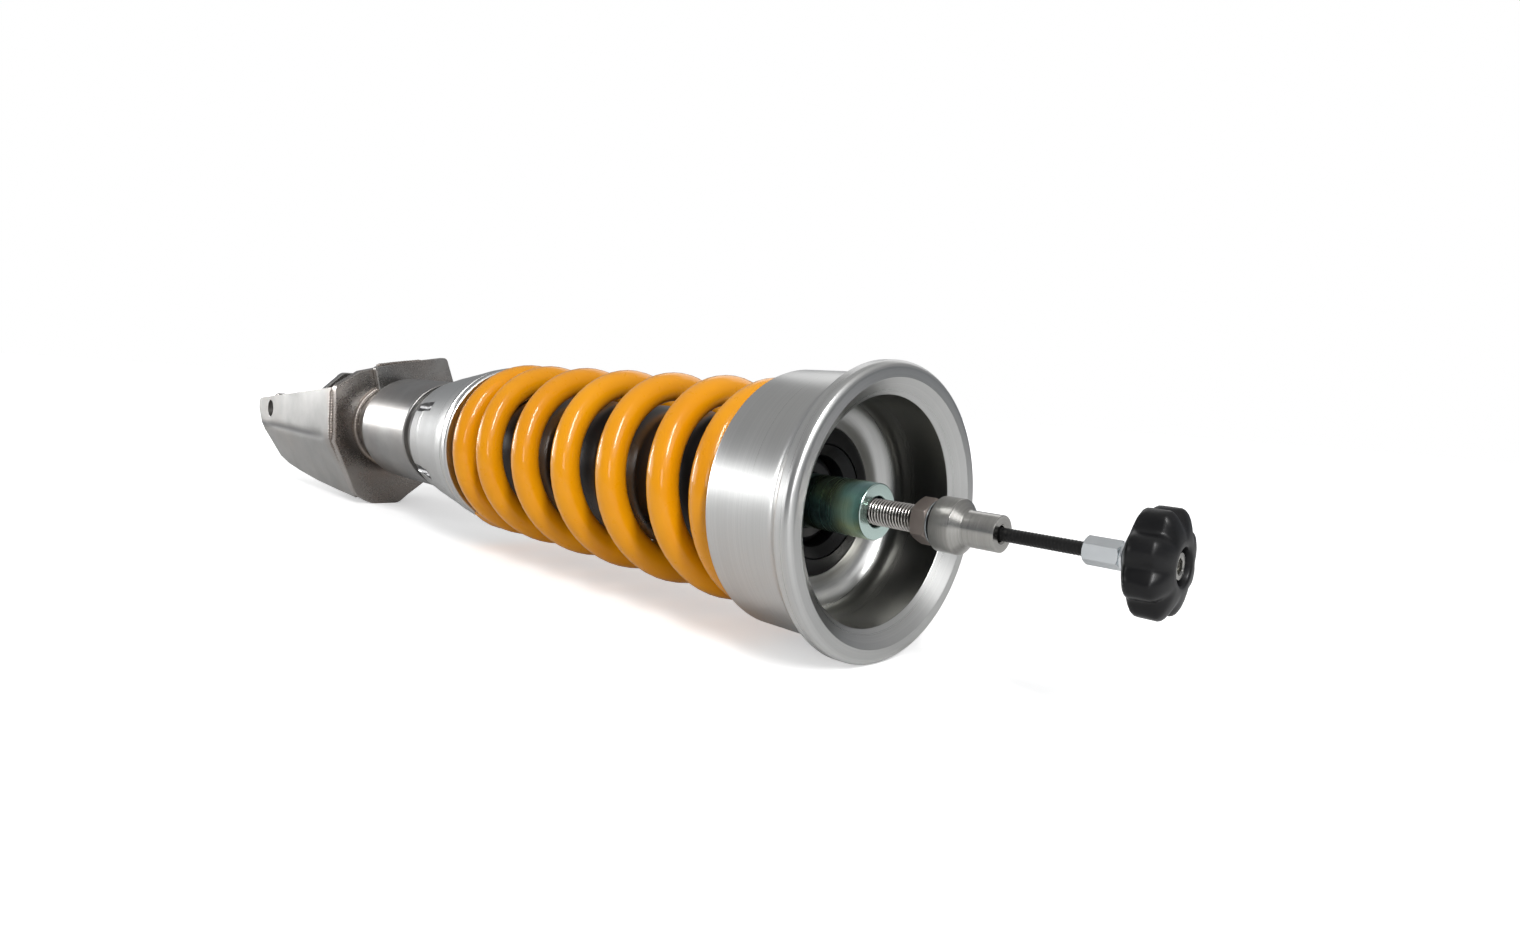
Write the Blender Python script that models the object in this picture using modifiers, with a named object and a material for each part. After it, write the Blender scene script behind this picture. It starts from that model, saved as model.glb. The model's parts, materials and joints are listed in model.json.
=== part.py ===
"""An adjustable coilover strut lying on its side: aluminium spring cup, coil spring, damper and steel fork.

The damper's axis runs along X, from the fork at -X to the adjuster knob at +X, AXIS_Z above the floor.
Stations along the axis and radii are in millimetres, and MM turns them into metres.
"""

import math

import bmesh
import bpy
from mathutils import Matrix, Vector

MM = 0.001
GAP = 0.3

# Driving dimensions
HALF_LENGTH = 336.5
FLANGE_RADIUS = 53.3
AXIS_Z = FLANGE_RADIUS
STROKE = 75.0
SPRING_MEAN_RADIUS = 39.0
WIRE_RADIUS = 6.25
SPRING_TURNS = 7.7
TUBE_RADIUS = 26.5
TUBE_BORE = 22.5
ROD_RADIUS = 7.0
STUD_RADIUS = 4.8
ROD_BORE = 2.0
NEEDLE_RADIUS = 1.6

# Adjuster, from the knob inwards
KNOB_RADIUS = 16.0
KNOB_LENGTH = 15.0
KNOB_LOBES = 8
KNOB_BACK = HALF_LENGTH - KNOB_LENGTH
WASHER_BACK = KNOB_BACK - 1.1
COUPLING_FRONT = WASHER_BACK - GAP
COUPLING_BACK = COUPLING_FRONT - 11.0
ADAPTER_FRONT = COUPLING_BACK - 27.0
ADAPTER_BACK = ADAPTER_FRONT - 23.2
LOCKNUT_BACK = ADAPTER_BACK - 7.2
STUD_TOP = ADAPTER_BACK + 7.2
SHAFT_RADIUS = 1.95
SHAFT_END = STUD_TOP + 1.3

# Cup and mount
MOUTH = 240.4
MOUTH_RADIUS = 47.15
CUP_RADIUS = 48.8
CUP_BORE = 41.0
CUP_FLOOR = MOUTH - 34.5
UPPER_SEAT = MOUTH - 40.0
CUP_RIM = MOUTH - 43.7
HUB_END = MOUTH - 48.0
HUB_RADIUS = 32.2
BUSH_RADIUS = 28.0
SLEEVE_FRONT = MOUTH - 6.9
SLEEVE_BACK = HUB_END - 0.9
SLEEVE_RADIUS = 10.25
SLEEVE_BORE = 5.6
SHOULDER = SLEEVE_BACK - GAP - 2.0 - GAP

# Body
TUBE_TOP = 79.0
BUMP_STOP_END = TUBE_TOP + STROKE + 0.5
TUBE_END = -226.5
LOWER_SEAT = -11.0
PERCH_RADIUS = 30.0
PERCH_STOP = -88.0
COLLAR_END = LOWER_SEAT - 49.0
LOCK_RING_FRONT = COLLAR_END - 0.6
LOCK_RING_BACK = LOCK_RING_FRONT - 14.0
BOOT_END = 10.0
PISTON_FRONT = 9.2
PISTON_BACK = -8.8
FLOATING_FRONT = -110.0

# Fork
CROWN_FRONT = -174.5
CROWN_BACK = -182.5
LEG_FRONT = CROWN_BACK - GAP
LEG_SIDE = 40.0
LEG_THICKNESS = 4.0
FOLD_DROP = -12.0
EYE_X = -308.5
EYE_RISE = 2.0
EYE_RADIUS = 6.2


def clear_scene():
    for obj in list(bpy.data.objects):
        bpy.data.objects.remove(obj, do_unlink=True)


def collection(name):
    made = bpy.data.collections.new(name)
    bpy.context.scene.collection.children.link(made)
    return made


def material(name, color, roughness, metallic):
    made = bpy.data.materials.new(name)
    made.use_nodes = True
    shader = made.node_tree.nodes["Principled BSDF"]
    shader.inputs["Base Color"].default_value = (*color, 1.0)
    shader.inputs["Roughness"].default_value = roughness
    shader.inputs["Metallic"].default_value = metallic
    return made


def smooth(mesh):
    mesh.shade_smooth()
    mesh.set_sharp_from_angle(angle=math.radians(35))


def new_part(name, mesh, look):
    """A part whose local origin is on the damper's axis, at the middle of its length."""
    obj = bpy.data.objects.new(name, mesh)
    PARTS.objects.link(obj)
    obj.location = (0, 0, AXIS_Z * MM)
    mesh.materials.append(look)
    return obj


def new_cutter(name, mesh):
    obj = bpy.data.objects.new(name, mesh)
    CUTTERS.objects.link(obj)
    obj.location = (0, 0, AXIS_Z * MM)
    obj.hide_render = True
    obj.display_type = "WIRE"
    return obj


def cut(obj, cutter):
    modifier = obj.modifiers.new(cutter.name, "BOOLEAN")
    modifier.operation = "DIFFERENCE"
    modifier.solver = "EXACT"
    modifier.object = cutter


def turned(name, profile, look, steps=24):
    """A turned piece: (station, radius) points revolved about X. A profile off the axis is a closed ring."""
    ring = profile[0][1] > 0
    closed = [*profile, profile[0]]
    area = sum(r0 * x1 - r1 * x0 for (x0, r0), (x1, r1) in zip(closed, closed[1:]))
    points = profile if area < 0 else profile[::-1]
    mesh = bpy.data.meshes.new(name)
    edges = [(i, i + 1) for i in range(len(points) - 1)]
    if ring:
        edges.append((len(points) - 1, 0))
    mesh.from_pydata([(r * MM, 0, x * MM) for x, r in points], edges, [])
    obj = new_part(name, mesh, look)
    obj.rotation_euler = (0, math.pi / 2, 0)
    screw = obj.modifiers.new("Turn", "SCREW")
    screw.axis = "Z"
    screw.angle = 2 * math.pi
    screw.steps = screw.render_steps = steps
    screw.use_merge_vertices = True
    screw.merge_threshold = 1e-5
    screw.use_smooth_shade = True
    return obj


def pipe(name, front, back, bore, radius, look, steps=24, chamfer=0.0):
    """A plain ring, from station front down to station back, with its outer edges chamfered."""
    outer = [(front, radius - chamfer), (front - chamfer, radius), (back + chamfer, radius), (back, radius - chamfer)]
    if not chamfer:
        outer = [(front, radius), (back, radius)]
    return turned(name, [(front, bore), *outer, (back, bore)], look, steps)


def bar_mesh(name, front, back, radius, sides=32):
    """A cylinder or prism along X between two stations."""
    mesh = bpy.data.meshes.new(name)
    shape = bmesh.new()
    turn = Matrix.Rotation(math.pi / 2, 4, "Y") @ Matrix.Rotation(math.pi / 2, 4, "Z")
    place = Matrix.Translation(((front + back) / 2 * MM, 0, 0)) @ turn
    bmesh.ops.create_cone(
        shape, cap_ends=True, segments=sides, radius1=radius * MM, radius2=radius * MM,
        depth=abs(front - back) * MM, matrix=place,
    )
    shape.to_mesh(mesh)
    shape.free()
    return mesh


def hexagon(name, front, back, across_flats, bore, look, bore_end=None):
    """A hexagonal nut or coupling with a round bore, which is blind where bore_end is given."""
    obj = new_part(name, bar_mesh(name, front, back, across_flats / math.sqrt(3), 6), look)
    start = front + 1 if bore_end is None else bore_end
    cut(obj, new_cutter(name + "_bore", bar_mesh(name + "_bore", start, back - 1, bore, 24)))
    return obj


def plate_mesh(name, outline, front, back):
    """A flat plate square to the axis, from its (across, up) outline."""
    curve = bpy.data.curves.new(name, "CURVE")
    curve.dimensions = "2D"
    curve.fill_mode = "BOTH"
    curve.extrude = abs(front - back) / 2 * MM
    spline = curve.splines.new("POLY")
    spline.points.add(len(outline) - 1)
    for point, (across, up) in zip(spline.points, outline):
        point.co = (across * MM, up * MM, 0, 1)
    spline.use_cyclic_u = True
    guide = bpy.data.objects.new(name + "_outline", curve)
    CUTTERS.objects.link(guide)
    stand = Matrix(((0, 0, 1, 0), (1, 0, 0, 0), (0, 1, 0, 0), (0, 0, 0, 1)))
    mesh = solid_from(guide, name)
    mesh.transform(Matrix.Translation(((front + back) / 2 * MM, 0, 0)) @ stand)
    return mesh


def solid_from(curve_object, name):
    """The curve's evaluated mesh with its caps welded on. The curve itself is removed."""
    graph = bpy.context.evaluated_depsgraph_get()
    mesh = bpy.data.meshes.new_from_object(curve_object.evaluated_get(graph))
    bpy.data.objects.remove(curve_object, do_unlink=True)
    mesh.name = name
    shape = bmesh.new()
    shape.from_mesh(mesh)
    bmesh.ops.remove_doubles(shape, verts=shape.verts, dist=1e-6)
    bmesh.ops.recalc_face_normals(shape, faces=shape.faces)
    shape.to_mesh(mesh)
    shape.free()
    mesh.materials.clear()
    return mesh


def boxes_mesh(name, boxes):
    """Separate boxes in one cutter, each given as (centre, size, turn about X in radians)."""
    mesh = bpy.data.meshes.new(name)
    shape = bmesh.new()
    for centre, size, turn in boxes:
        scale = Matrix.Diagonal((*(Vector(size) * MM), 1))
        place = Matrix.Rotation(turn, 4, "X") @ Matrix.Translation(Vector(centre) * MM)
        bmesh.ops.create_cube(shape, size=1.0, matrix=place @ scale)
    shape.to_mesh(mesh)
    shape.free()
    return mesh


def knob(look):
    """A lobed hand knob with soft shoulders and a round recess in its front face."""
    sides = 8 * KNOB_LOBES
    front, back = HALF_LENGTH, KNOB_BACK
    # station, radius, depth of the scallops between the lobes
    rings = [
        (back, 3.5, 0.0), (back, 5.5, 0.0), (back + 4.4, KNOB_RADIUS - 1.0, 1.2),
        (back + 5.4, KNOB_RADIUS, 1.9), (front - 3.6, KNOB_RADIUS, 1.9), (front - 1.6, KNOB_RADIUS - 1.6, 1.5),
        (front, KNOB_RADIUS - 6.5, 0.3), (front, 6.6, 0.0), (front - 3.0, 6.0, 0.0),
    ]
    shape = bmesh.new()
    loops = []
    for station, radius, scallop in rings:
        loop = []
        for i in range(sides):
            angle = 2 * math.pi * i / sides
            reach = radius - scallop * (0.5 - 0.5 * math.cos(KNOB_LOBES * angle)) ** 2
            loop.append(shape.verts.new(Vector((station, reach * math.cos(angle), reach * math.sin(angle))) * MM))
        loops.append(loop)
    for lower, upper in zip(loops, loops[1:]):
        for i in range(sides):
            j = (i + 1) % sides
            shape.faces.new((lower[i], lower[j], upper[j], upper[i]))
    shape.faces.new(loops[0])
    shape.faces.new(loops[-1])
    bmesh.ops.recalc_face_normals(shape, faces=shape.faces)
    mesh = bpy.data.meshes.new("adjuster_knob")
    shape.to_mesh(mesh)
    shape.free()
    smooth(mesh)
    return new_part("adjuster_knob", mesh, look)


def make_adjuster():
    """The knob and everything that turns with it, and the needle that it drives."""
    knob(BLACK_PLASTIC)
    head = HALF_LENGTH - 3.0 + GAP
    turned("knob_screw", [(head + 1.9, 0), (head + 1.9, 4.2), (head + 1.3, 4.8), (head, 4.8), (head, 0)], ZINC)
    pipe("knob_washer", KNOB_BACK - GAP, WASHER_BACK, 1.2, 4.6, ZINC)
    hexagon("shaft_coupling", COUPLING_FRONT, COUPLING_BACK, 7.6, 2.4, ZINC, bore_end=COUPLING_BACK + 6.0)
    route = [(COUPLING_BACK + 5.5, 0), (COUPLING_BACK + 5.5, SHAFT_RADIUS), (SHAFT_END, SHAFT_RADIUS), (SHAFT_END, 0)]
    turned("flex_shaft", route, BLACK_SHEATH, 16)
    tip = PISTON_BACK - 13.0
    needle = [(STUD_TOP - 1.2, 0), (STUD_TOP - 1.2, NEEDLE_RADIUS), (tip + 4, NEEDLE_RADIUS), (tip, 0.5), (tip, 0)]
    turned("adjuster_needle", needle, BRASS, 16)


def make_rod():
    """The rod with what is screwed to its upper end."""
    neck = ADAPTER_FRONT - 11.5
    wide = neck - 2.8
    adapter = [
        (ADAPTER_FRONT - 0.6, 2.7), (ADAPTER_FRONT, 3.2), (ADAPTER_FRONT, 5.2), (ADAPTER_FRONT - 0.8, 6.0),
        (neck, 6.0), (wide, 9.25), (ADAPTER_BACK + 0.6, 9.25), (ADAPTER_BACK, 8.65), (ADAPTER_BACK, 5.2),
        (STUD_TOP + GAP, 5.2), (STUD_TOP + GAP, 2.7),
    ]
    turned("adjuster_adapter", adapter, STAINLESS)
    hexagon("adapter_locknut", ADAPTER_BACK - GAP, LOCKNUT_BACK, 14.0, 5.2, BROWN_STEEL)
    step = PISTON_FRONT + 3.0
    rod = [
        (STUD_TOP - 0.8, ROD_BORE), (STUD_TOP, ROD_BORE + 0.5), (STUD_TOP, STUD_RADIUS - 0.6),
        (STUD_TOP - 0.8, STUD_RADIUS), (SHOULDER, STUD_RADIUS), (SHOULDER, ROD_RADIUS), (step, ROD_RADIUS),
        (step, 4.0), (PISTON_BACK - 11.0, 4.0), (PISTON_BACK - 11.0, ROD_BORE),
    ]
    turned("piston_rod", rod, CHROME)
    pipe("spacer_sleeve", SLEEVE_FRONT, SLEEVE_BACK, SLEEVE_BORE, SLEEVE_RADIUS, IRIDESCENT_ZINC, chamfer=0.5)


def make_piston():
    """The piston stack at the rod's lower end."""
    topout_end = TUBE_TOP - 27.3
    pipe("topout_spacer", topout_end, PISTON_FRONT + 3.3, ROD_RADIUS + GAP, 11.0, BLACK_PLASTIC, chamfer=0.8)
    pipe("rebound_shims", PISTON_FRONT + 2.8, PISTON_FRONT + GAP, 4.3, 17.0, STEEL)
    land, groove = 21.9, 20.6
    piston = [
        (PISTON_FRONT, 4.3), (PISTON_FRONT, land), (PISTON_FRONT - 4, land), (PISTON_FRONT - 4, groove),
        (PISTON_BACK + 4, groove), (PISTON_BACK + 4, land), (PISTON_BACK, land), (PISTON_BACK, 4.3),
    ]
    turned("piston", piston, ALUMINIUM)
    pipe("piston_band", PISTON_FRONT - 4.4, PISTON_BACK + 4.4, groove + GAP, 22.1, BLACK_PLASTIC)
    pipe("compression_shims", PISTON_BACK - GAP, PISTON_BACK - 2.8, 4.3, 17.0, STEEL)
    hexagon("piston_nut", PISTON_BACK - 3.1, PISTON_BACK - 9.6, 13.0, 4.4, STEEL)
    back = FLOATING_FRONT - 20.0
    floating = [
        (FLOATING_FRONT, 0), (FLOATING_FRONT, 21.9), (FLOATING_FRONT - 8, 21.9), (FLOATING_FRONT - 8, 19.4),
        (FLOATING_FRONT - 12, 19.4), (FLOATING_FRONT - 12, 21.9), (back, 21.9), (back, 17), (back + 12, 15),
        (back + 12, 0),
    ]
    turned("floating_piston", floating, ALUMINIUM)
    pipe("floating_piston_ring", FLOATING_FRONT - 8.4, FLOATING_FRONT - 11.6, 19.7, 22.1, BLACK_RUBBER)


def make_cup():
    """The upper spring cup: flanged and bevelled mouth, deep bore, coved floor and rear spring pocket."""
    flange_back = MOUTH - 9.0
    cove, centre_x, centre_r = 10.0, CUP_FLOOR + 10.0, CUP_BORE - 10.0
    angles = [math.radians(a) for a in (0, 30, 60, 90)]
    floor_cove = [(centre_x - cove * math.sin(a), centre_r + cove * math.cos(a)) for a in angles]
    nose = [(MOUTH - 2.8 + 2.8 * math.sin(a), FLANGE_RADIUS - 2.8 + 2.8 * math.cos(a)) for a in reversed(angles)]
    profile = [
        (MOUTH, MOUTH_RADIUS), *nose, (flange_back + 2.5, FLANGE_RADIUS), (flange_back + 0.6, FLANGE_RADIUS - 0.9),
        (flange_back - 1.6, CUP_RADIUS + 1.2), (flange_back - 4.5, CUP_RADIUS), (CUP_RIM + 0.8, CUP_RADIUS),
        (CUP_RIM, CUP_RADIUS - 0.8), (CUP_RIM, SPRING_MEAN_RADIUS + WIRE_RADIUS + 0.8),
        (UPPER_SEAT, SPRING_MEAN_RADIUS + WIRE_RADIUS + 0.6), (UPPER_SEAT, HUB_RADIUS), (HUB_END + 1, HUB_RADIUS),
        (HUB_END, HUB_RADIUS - 1), (HUB_END, BUSH_RADIUS + GAP), (CUP_FLOOR, BUSH_RADIUS + GAP),
        *floor_cove[::-1], (MOUTH - 5.0, 41.3),
    ]
    turned("upper_spring_cup", profile, ALUMINIUM, 40)


def make_mount():
    """The rubber-isolated mount in the cup's floor, and the bump stop under it."""
    inner = 17.6
    bush = [
        (CUP_FLOOR - 1.0, inner + 1.5), (CUP_FLOOR + 1.6, inner + 3), (CUP_FLOOR + 1.6, BUSH_RADIUS - 2.5),
        (CUP_FLOOR + 0.4, BUSH_RADIUS), (HUB_END, BUSH_RADIUS), (HUB_END, inner), (CUP_FLOOR - 1.0, inner),
    ]
    turned("mount_bush", bush, BLACK_RUBBER, 32)
    core_front = CUP_FLOOR - 5.0
    core = [
        (core_front, SLEEVE_RADIUS + 0.4), (core_front, 14.5), (core_front - 2.5, inner - GAP),
        (SLEEVE_BACK, inner - GAP), (SLEEVE_BACK, SLEEVE_RADIUS + 0.4),
    ]
    turned("bush_core", core, BLACK_PLASTIC)
    pipe("bump_washer", SLEEVE_BACK - GAP, SHOULDER + GAP, STUD_RADIUS + 0.5, 24.0, STEEL, chamfer=0.4)
    top = SHOULDER - GAP
    stop = [
        (top, ROD_RADIUS + 0.6), (top, 20.0), (top - 9, 20.0), (top - 11, 17.0), (top - 13, 19.0), (top - 21, 18.0),
        (top - 23, 15.0), (top - 25, 16.5), (BUMP_STOP_END + 2, 14.0), (BUMP_STOP_END, 12.0),
        (BUMP_STOP_END, ROD_RADIUS + 0.6),
    ]
    turned("bump_stop", stop, BLACK_RUBBER)


def make_boot():
    """The rubber boot between the mount and the body, with shallow folds, and the clamp at its lower end."""
    folds, wall = 7, 1.3
    top, bottom = SHOULDER - 3.5, BOOT_END
    start, end = top - 6.0, bottom + 10.0
    crest, root = 30.4, 28.9
    outer = [(top, crest), (start, crest)]
    for i in range(1, 2 * folds):
        outer.append((start + (end - start) * i / (2 * folds), root if i % 2 else crest))
    outer += [(end, root), (bottom, root)]
    inner = [(x, r - wall) for x, r in reversed(outer)]
    lip = 21.5
    shell = [(top, lip), *outer, *inner[:-1], (top - wall, crest - wall), (top - wall, lip)]
    turned("dust_boot", shell, BLACK_RUBBER)
    pipe("boot_clamp", bottom + 7.0, bottom + 2.0, root + GAP, root + 1.3, STEEL)


def spring_pitch(turn):
    """Pitch at this many turns from the fork's end: closed end coils that open smoothly into the active ones."""
    closed, active = 12.6, 33.4
    near = min(turn, SPRING_TURNS - turn)
    opening = min(max((near - 0.75) / 1.05, 0.0), 1.0)
    return closed + (active - closed) * opening * opening * (3 - 2 * opening)


def make_spring():
    """A right-hand coil spring with closed ends ground flat to the two seats."""
    per_turn = 20
    count = round(SPRING_TURNS * per_turn)
    stations = [0.0]
    for i in range(count):
        stations.append(stations[-1] + spring_pitch((i + 0.5) * SPRING_TURNS / count) * SPRING_TURNS / count)
    tip = 3.1
    free = UPPER_SEAT - LOWER_SEAT - 2 * GAP
    stretch = (free - 2 * tip) / stations[-1]
    curve = bpy.data.curves.new("coil_spring", "CURVE")
    curve.dimensions = "3D"
    curve.bevel_depth = WIRE_RADIUS * MM
    curve.bevel_resolution = 2
    curve.use_fill_caps = True
    spline = curve.splines.new("POLY")
    spline.points.add(count)
    lead = 0.85
    for i, point in enumerate(spline.points):
        angle = 2 * math.pi * (i * SPRING_TURNS / count - lead)
        x = LOWER_SEAT + GAP + tip + stations[i] * stretch
        across, up = -SPRING_MEAN_RADIUS * math.cos(angle), -SPRING_MEAN_RADIUS * math.sin(angle)
        point.co = (x * MM, across * MM, up * MM, 1)
    guide = bpy.data.objects.new("coil_centreline", curve)
    CUTTERS.objects.link(guide)
    mesh = solid_from(guide, "coil_spring")
    smooth(mesh)
    obj = new_part("coil_spring", mesh, YELLOW_ENAMEL)
    thick = 20.0
    ends = (LOWER_SEAT + GAP - thick / 2, UPPER_SEAT - GAP + thick / 2)
    grinders = [((x, 0, 0), (thick, 120, 120), 0) for x in ends]
    cut(obj, new_cutter("spring_grinder", boxes_mesh("spring_grinder", grinders)))


def slots(name, front, back, radius, count, width, depth):
    """A cutter for spanner slots round a ring."""
    size = (abs(front - back) + 2, width, 2 * depth)
    middle = (front + back) / 2
    return new_cutter(name, boxes_mesh(name, [((middle, 0, radius), size, 2 * math.pi * i / count) for i in range(count)]))


def make_seat():
    """The threaded sleeve round the tube, the spring seat screwed on it, and the ring that locks the seat."""
    bore = PERCH_RADIUS + 0.6
    sleeve = [
        (2, TUBE_RADIUS + GAP), (2, PERCH_RADIUS - 0.6), (1.4, PERCH_RADIUS), (PERCH_STOP, PERCH_RADIUS),
        (PERCH_STOP, 31.9), (PERCH_STOP - 0.6, 32.5), (-149.4, 32.5), (-150, 31.9), (-150, TUBE_RADIUS + GAP),
    ]
    turned("perch_sleeve", sleeve, GREY_STEEL, 36)
    flange, skirt = LOWER_SEAT - 4.0, LOWER_SEAT - 6.4
    collar = [
        (LOWER_SEAT + 7, bore), (LOWER_SEAT + 7, 31.2), (LOWER_SEAT + 6, 32.2), (LOWER_SEAT, 32.2),
        (LOWER_SEAT, 42.6), (LOWER_SEAT - 0.8, 43.4), (flange + 0.6, 43.4), (flange, 42.8), (flange, 40.5),
        (skirt, 40.5), (skirt, 42.2), (skirt - 1.0, 43.0), (COLLAR_END + 14, 38.8), (COLLAR_END, 36.8),
        (COLLAR_END, bore),
    ]
    seat = turned("spring_seat_collar", collar, ALUMINIUM, 36)
    cut(seat, slots("collar_slots", COLLAR_END + 10, COLLAR_END - 2, 38.0, 6, 6.0, 3.0))
    ring = [
        (LOCK_RING_FRONT, bore), (LOCK_RING_FRONT, 35.8), (LOCK_RING_FRONT - 0.6, 36.4),
        (LOCK_RING_BACK + 0.6, 34.4), (LOCK_RING_BACK, 33.8), (LOCK_RING_BACK, bore),
    ]
    lock = turned("lock_ring", ring, ALUMINIUM, 36)
    cut(lock, slots("lock_ring_slots", LOCK_RING_FRONT + 2, LOCK_RING_BACK - 2, 35.6, 6, 6.0, 2.4))


def make_body():
    """The damper tube with its gland at the top and its plug at the bottom."""
    pipe("body_tube", TUBE_TOP, TUBE_END, TUBE_BORE, TUBE_RADIUS, STEEL, 36, 0.6)
    fit = TUBE_BORE - 0.4
    rod_clear = ROD_RADIUS + 0.3
    guide_back = TUBE_TOP - 19.0
    wiper = [
        (TUBE_TOP - 0.3, rod_clear), (TUBE_TOP - 0.3, 10), (TUBE_TOP - 2, 12), (TUBE_TOP - 2, fit),
        (TUBE_TOP - 4.3, fit), (TUBE_TOP - 4.3, rod_clear),
    ]
    turned("wiper_seal", wiper, BLACK_RUBBER)
    pipe("rod_guide", TUBE_TOP - 4.6, guide_back, 9.1, fit, ALUMINIUM)
    pipe("guide_bush", TUBE_TOP - 5.6, guide_back + 1, rod_clear, 8.8, BRASS)
    pipe("rod_seal", guide_back - GAP, guide_back - 5.3, rod_clear, fit, BLACK_RUBBER)
    pipe("seal_retainer", guide_back - 5.6, guide_back - 7.6, rod_clear, fit, STEEL)
    plug = [
        (TUBE_END + 14, 3.3), (TUBE_END + 14, fit), (TUBE_END - GAP, fit), (TUBE_END - GAP, TUBE_RADIUS - 0.3),
        (TUBE_END - 4, TUBE_RADIUS - 0.3), (TUBE_END - 5, TUBE_RADIUS - 1.3), (TUBE_END - 5, 3.3),
    ]
    turned("tube_end_cap", plug, STEEL)
    end = TUBE_END - 5.0
    screw = [(end + 12, 0), (end + 12, 2.9), (end - GAP, 2.9), (end - GAP, 5), (end - 3, 5), (end - 3.6, 4.4), (end - 3.6, 0)]
    turned("gas_valve_screw", screw, STEEL)


def leg_mesh(name, side, top, bottom, foot):
    """A fork leg's outer skin: a flat upper face and a lower face folded in along a straight crease.

    top and bottom are (station, rise) edges with the same stations, and foot is a point of the folded face."""
    foot_in, foot_drop = foot

    def across(rise):
        fold = min(rise - FOLD_DROP, 0) / (foot_drop - FOLD_DROP)
        return side * (LEG_SIDE - (LEG_SIDE - foot_in) * fold)

    mesh = bpy.data.meshes.new(name)
    shape = bmesh.new()
    columns = []
    for (x, high), (_, low) in zip(top, bottom):
        crease = FOLD_DROP if low < FOLD_DROP - 2 else low + 0.45 * (high - low)
        columns.append([shape.verts.new(Vector((x, across(z), z)) * MM) for z in (high, crease, low)])
    for one, two in zip(columns, columns[1:]):
        for i in range(2):
            face = (one[i], one[i + 1], two[i + 1], two[i])
            shape.faces.new(face if side < 0 else face[::-1])
    shape.to_mesh(mesh)
    shape.free()
    return mesh


def make_leg(name, side, top, bottom, foot):
    leg = new_part(name, leg_mesh(name, side, top, bottom, foot), GREY_STEEL)
    sheet = leg.modifiers.new("Plate", "SOLIDIFY")
    sheet.thickness = LEG_THICKNESS * MM
    sheet.offset = 1
    sheet.use_even_offset = True
    eye = bar_mesh(name + "_eye", 8, -8, EYE_RADIUS, 24)
    eye.transform(Matrix.Rotation(math.pi / 2, 4, "Z"))
    eye.transform(Matrix.Translation(Vector((EYE_X, side * LEG_SIDE, EYE_RISE)) * MM))
    cut(leg, new_cutter(name + "_eye", eye))


def eye_boss(name, side):
    """A ring on a leg's inner face, round the eye."""
    inner = LEG_SIDE - LEG_THICKNESS - GAP
    boss = turned(name, [(0, EYE_RADIUS), (0, 11.5), (5.5, 11.5), (6.5, 10.5), (6.5, EYE_RADIUS)], GREY_STEEL)
    boss.rotation_euler = (side * math.pi / 2, 0, 0)
    boss.location = (EYE_X * MM, side * inner * MM, (AXIS_Z + EYE_RISE) * MM)


def make_fork():
    """The welded steel fork: a crown plate, a second bulkhead, two folded legs and the anti-roll link's tab."""
    ground = -AXIS_Z
    crown_outline = [
        (40, 24), (40, -14), (30, -32), (17, -42), (9, -48), (3, ground), (-15, ground), (-26, -47),
        (-LEG_SIDE, FOLD_DROP), (-LEG_SIDE, 24.5), (-25, 35), (-12, 38.5), (24, 41),
    ]
    crown = new_part("fork_crown", plate_mesh("fork_crown", crown_outline, CROWN_FRONT, CROWN_BACK), GREY_STEEL)
    tab_front, tab_back = CROWN_FRONT + 6.0, CROWN_FRONT + GAP
    tab_outline = [(20, 4), (41, 17), (39, 24), (30.6, 48.5), (-2, 42.2), (-18, 38.5), (-14, 20)]
    tab = new_part("link_tab", plate_mesh("link_tab", tab_outline, tab_front, tab_back), GREY_STEEL)
    rear_front, rear_back = TUBE_END + 8.0, TUBE_END + 2.0
    rear_outline = [(35.4, 18), (35.4, -10), (22.5, -33), (-22, -36), (-35.4, -10), (-35.4, 18), (-20, 33), (20, 33)]
    rear = new_part("fork_bulkhead", plate_mesh("fork_bulkhead", rear_outline, rear_front, rear_back), GREY_STEEL)
    drill = new_cutter("tube_drill", bar_mesh("tube_drill", tab_front + 5, TUBE_END - 5, TUBE_RADIUS + GAP, 36))
    for plate in (crown, tab, rear):
        cut(plate, drill)
    reach = (LEG_FRONT, -215.0, -250.0, -284.0, -305.0, -318.0, -324.0, -HALF_LENGTH)
    near_low = (-50.0, -48.5, -46.5, -42.8, -39.5, -34.5, -20.0, 0.5)
    far_low = (-36.0, -36.0, -36.0, -35.0, -32.5, -28.0, -18.5, 0.5)
    top = [(x, 23.2 + 0.097 * (x - LEG_FRONT)) for x in reach[:-1]] + [(-HALF_LENGTH, 6.0)]
    make_leg("fork_leg_near", -1, top, list(zip(reach, near_low)), (21.0, ground))
    make_leg("fork_leg_far", 1, top, list(zip(reach, far_low)), (27.0, -36.0))
    eye_boss("eye_boss_near", -1)
    eye_boss("eye_boss_far", 1)


clear_scene()
PARTS = collection("coilover")
CUTTERS = collection("cutters")

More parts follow.
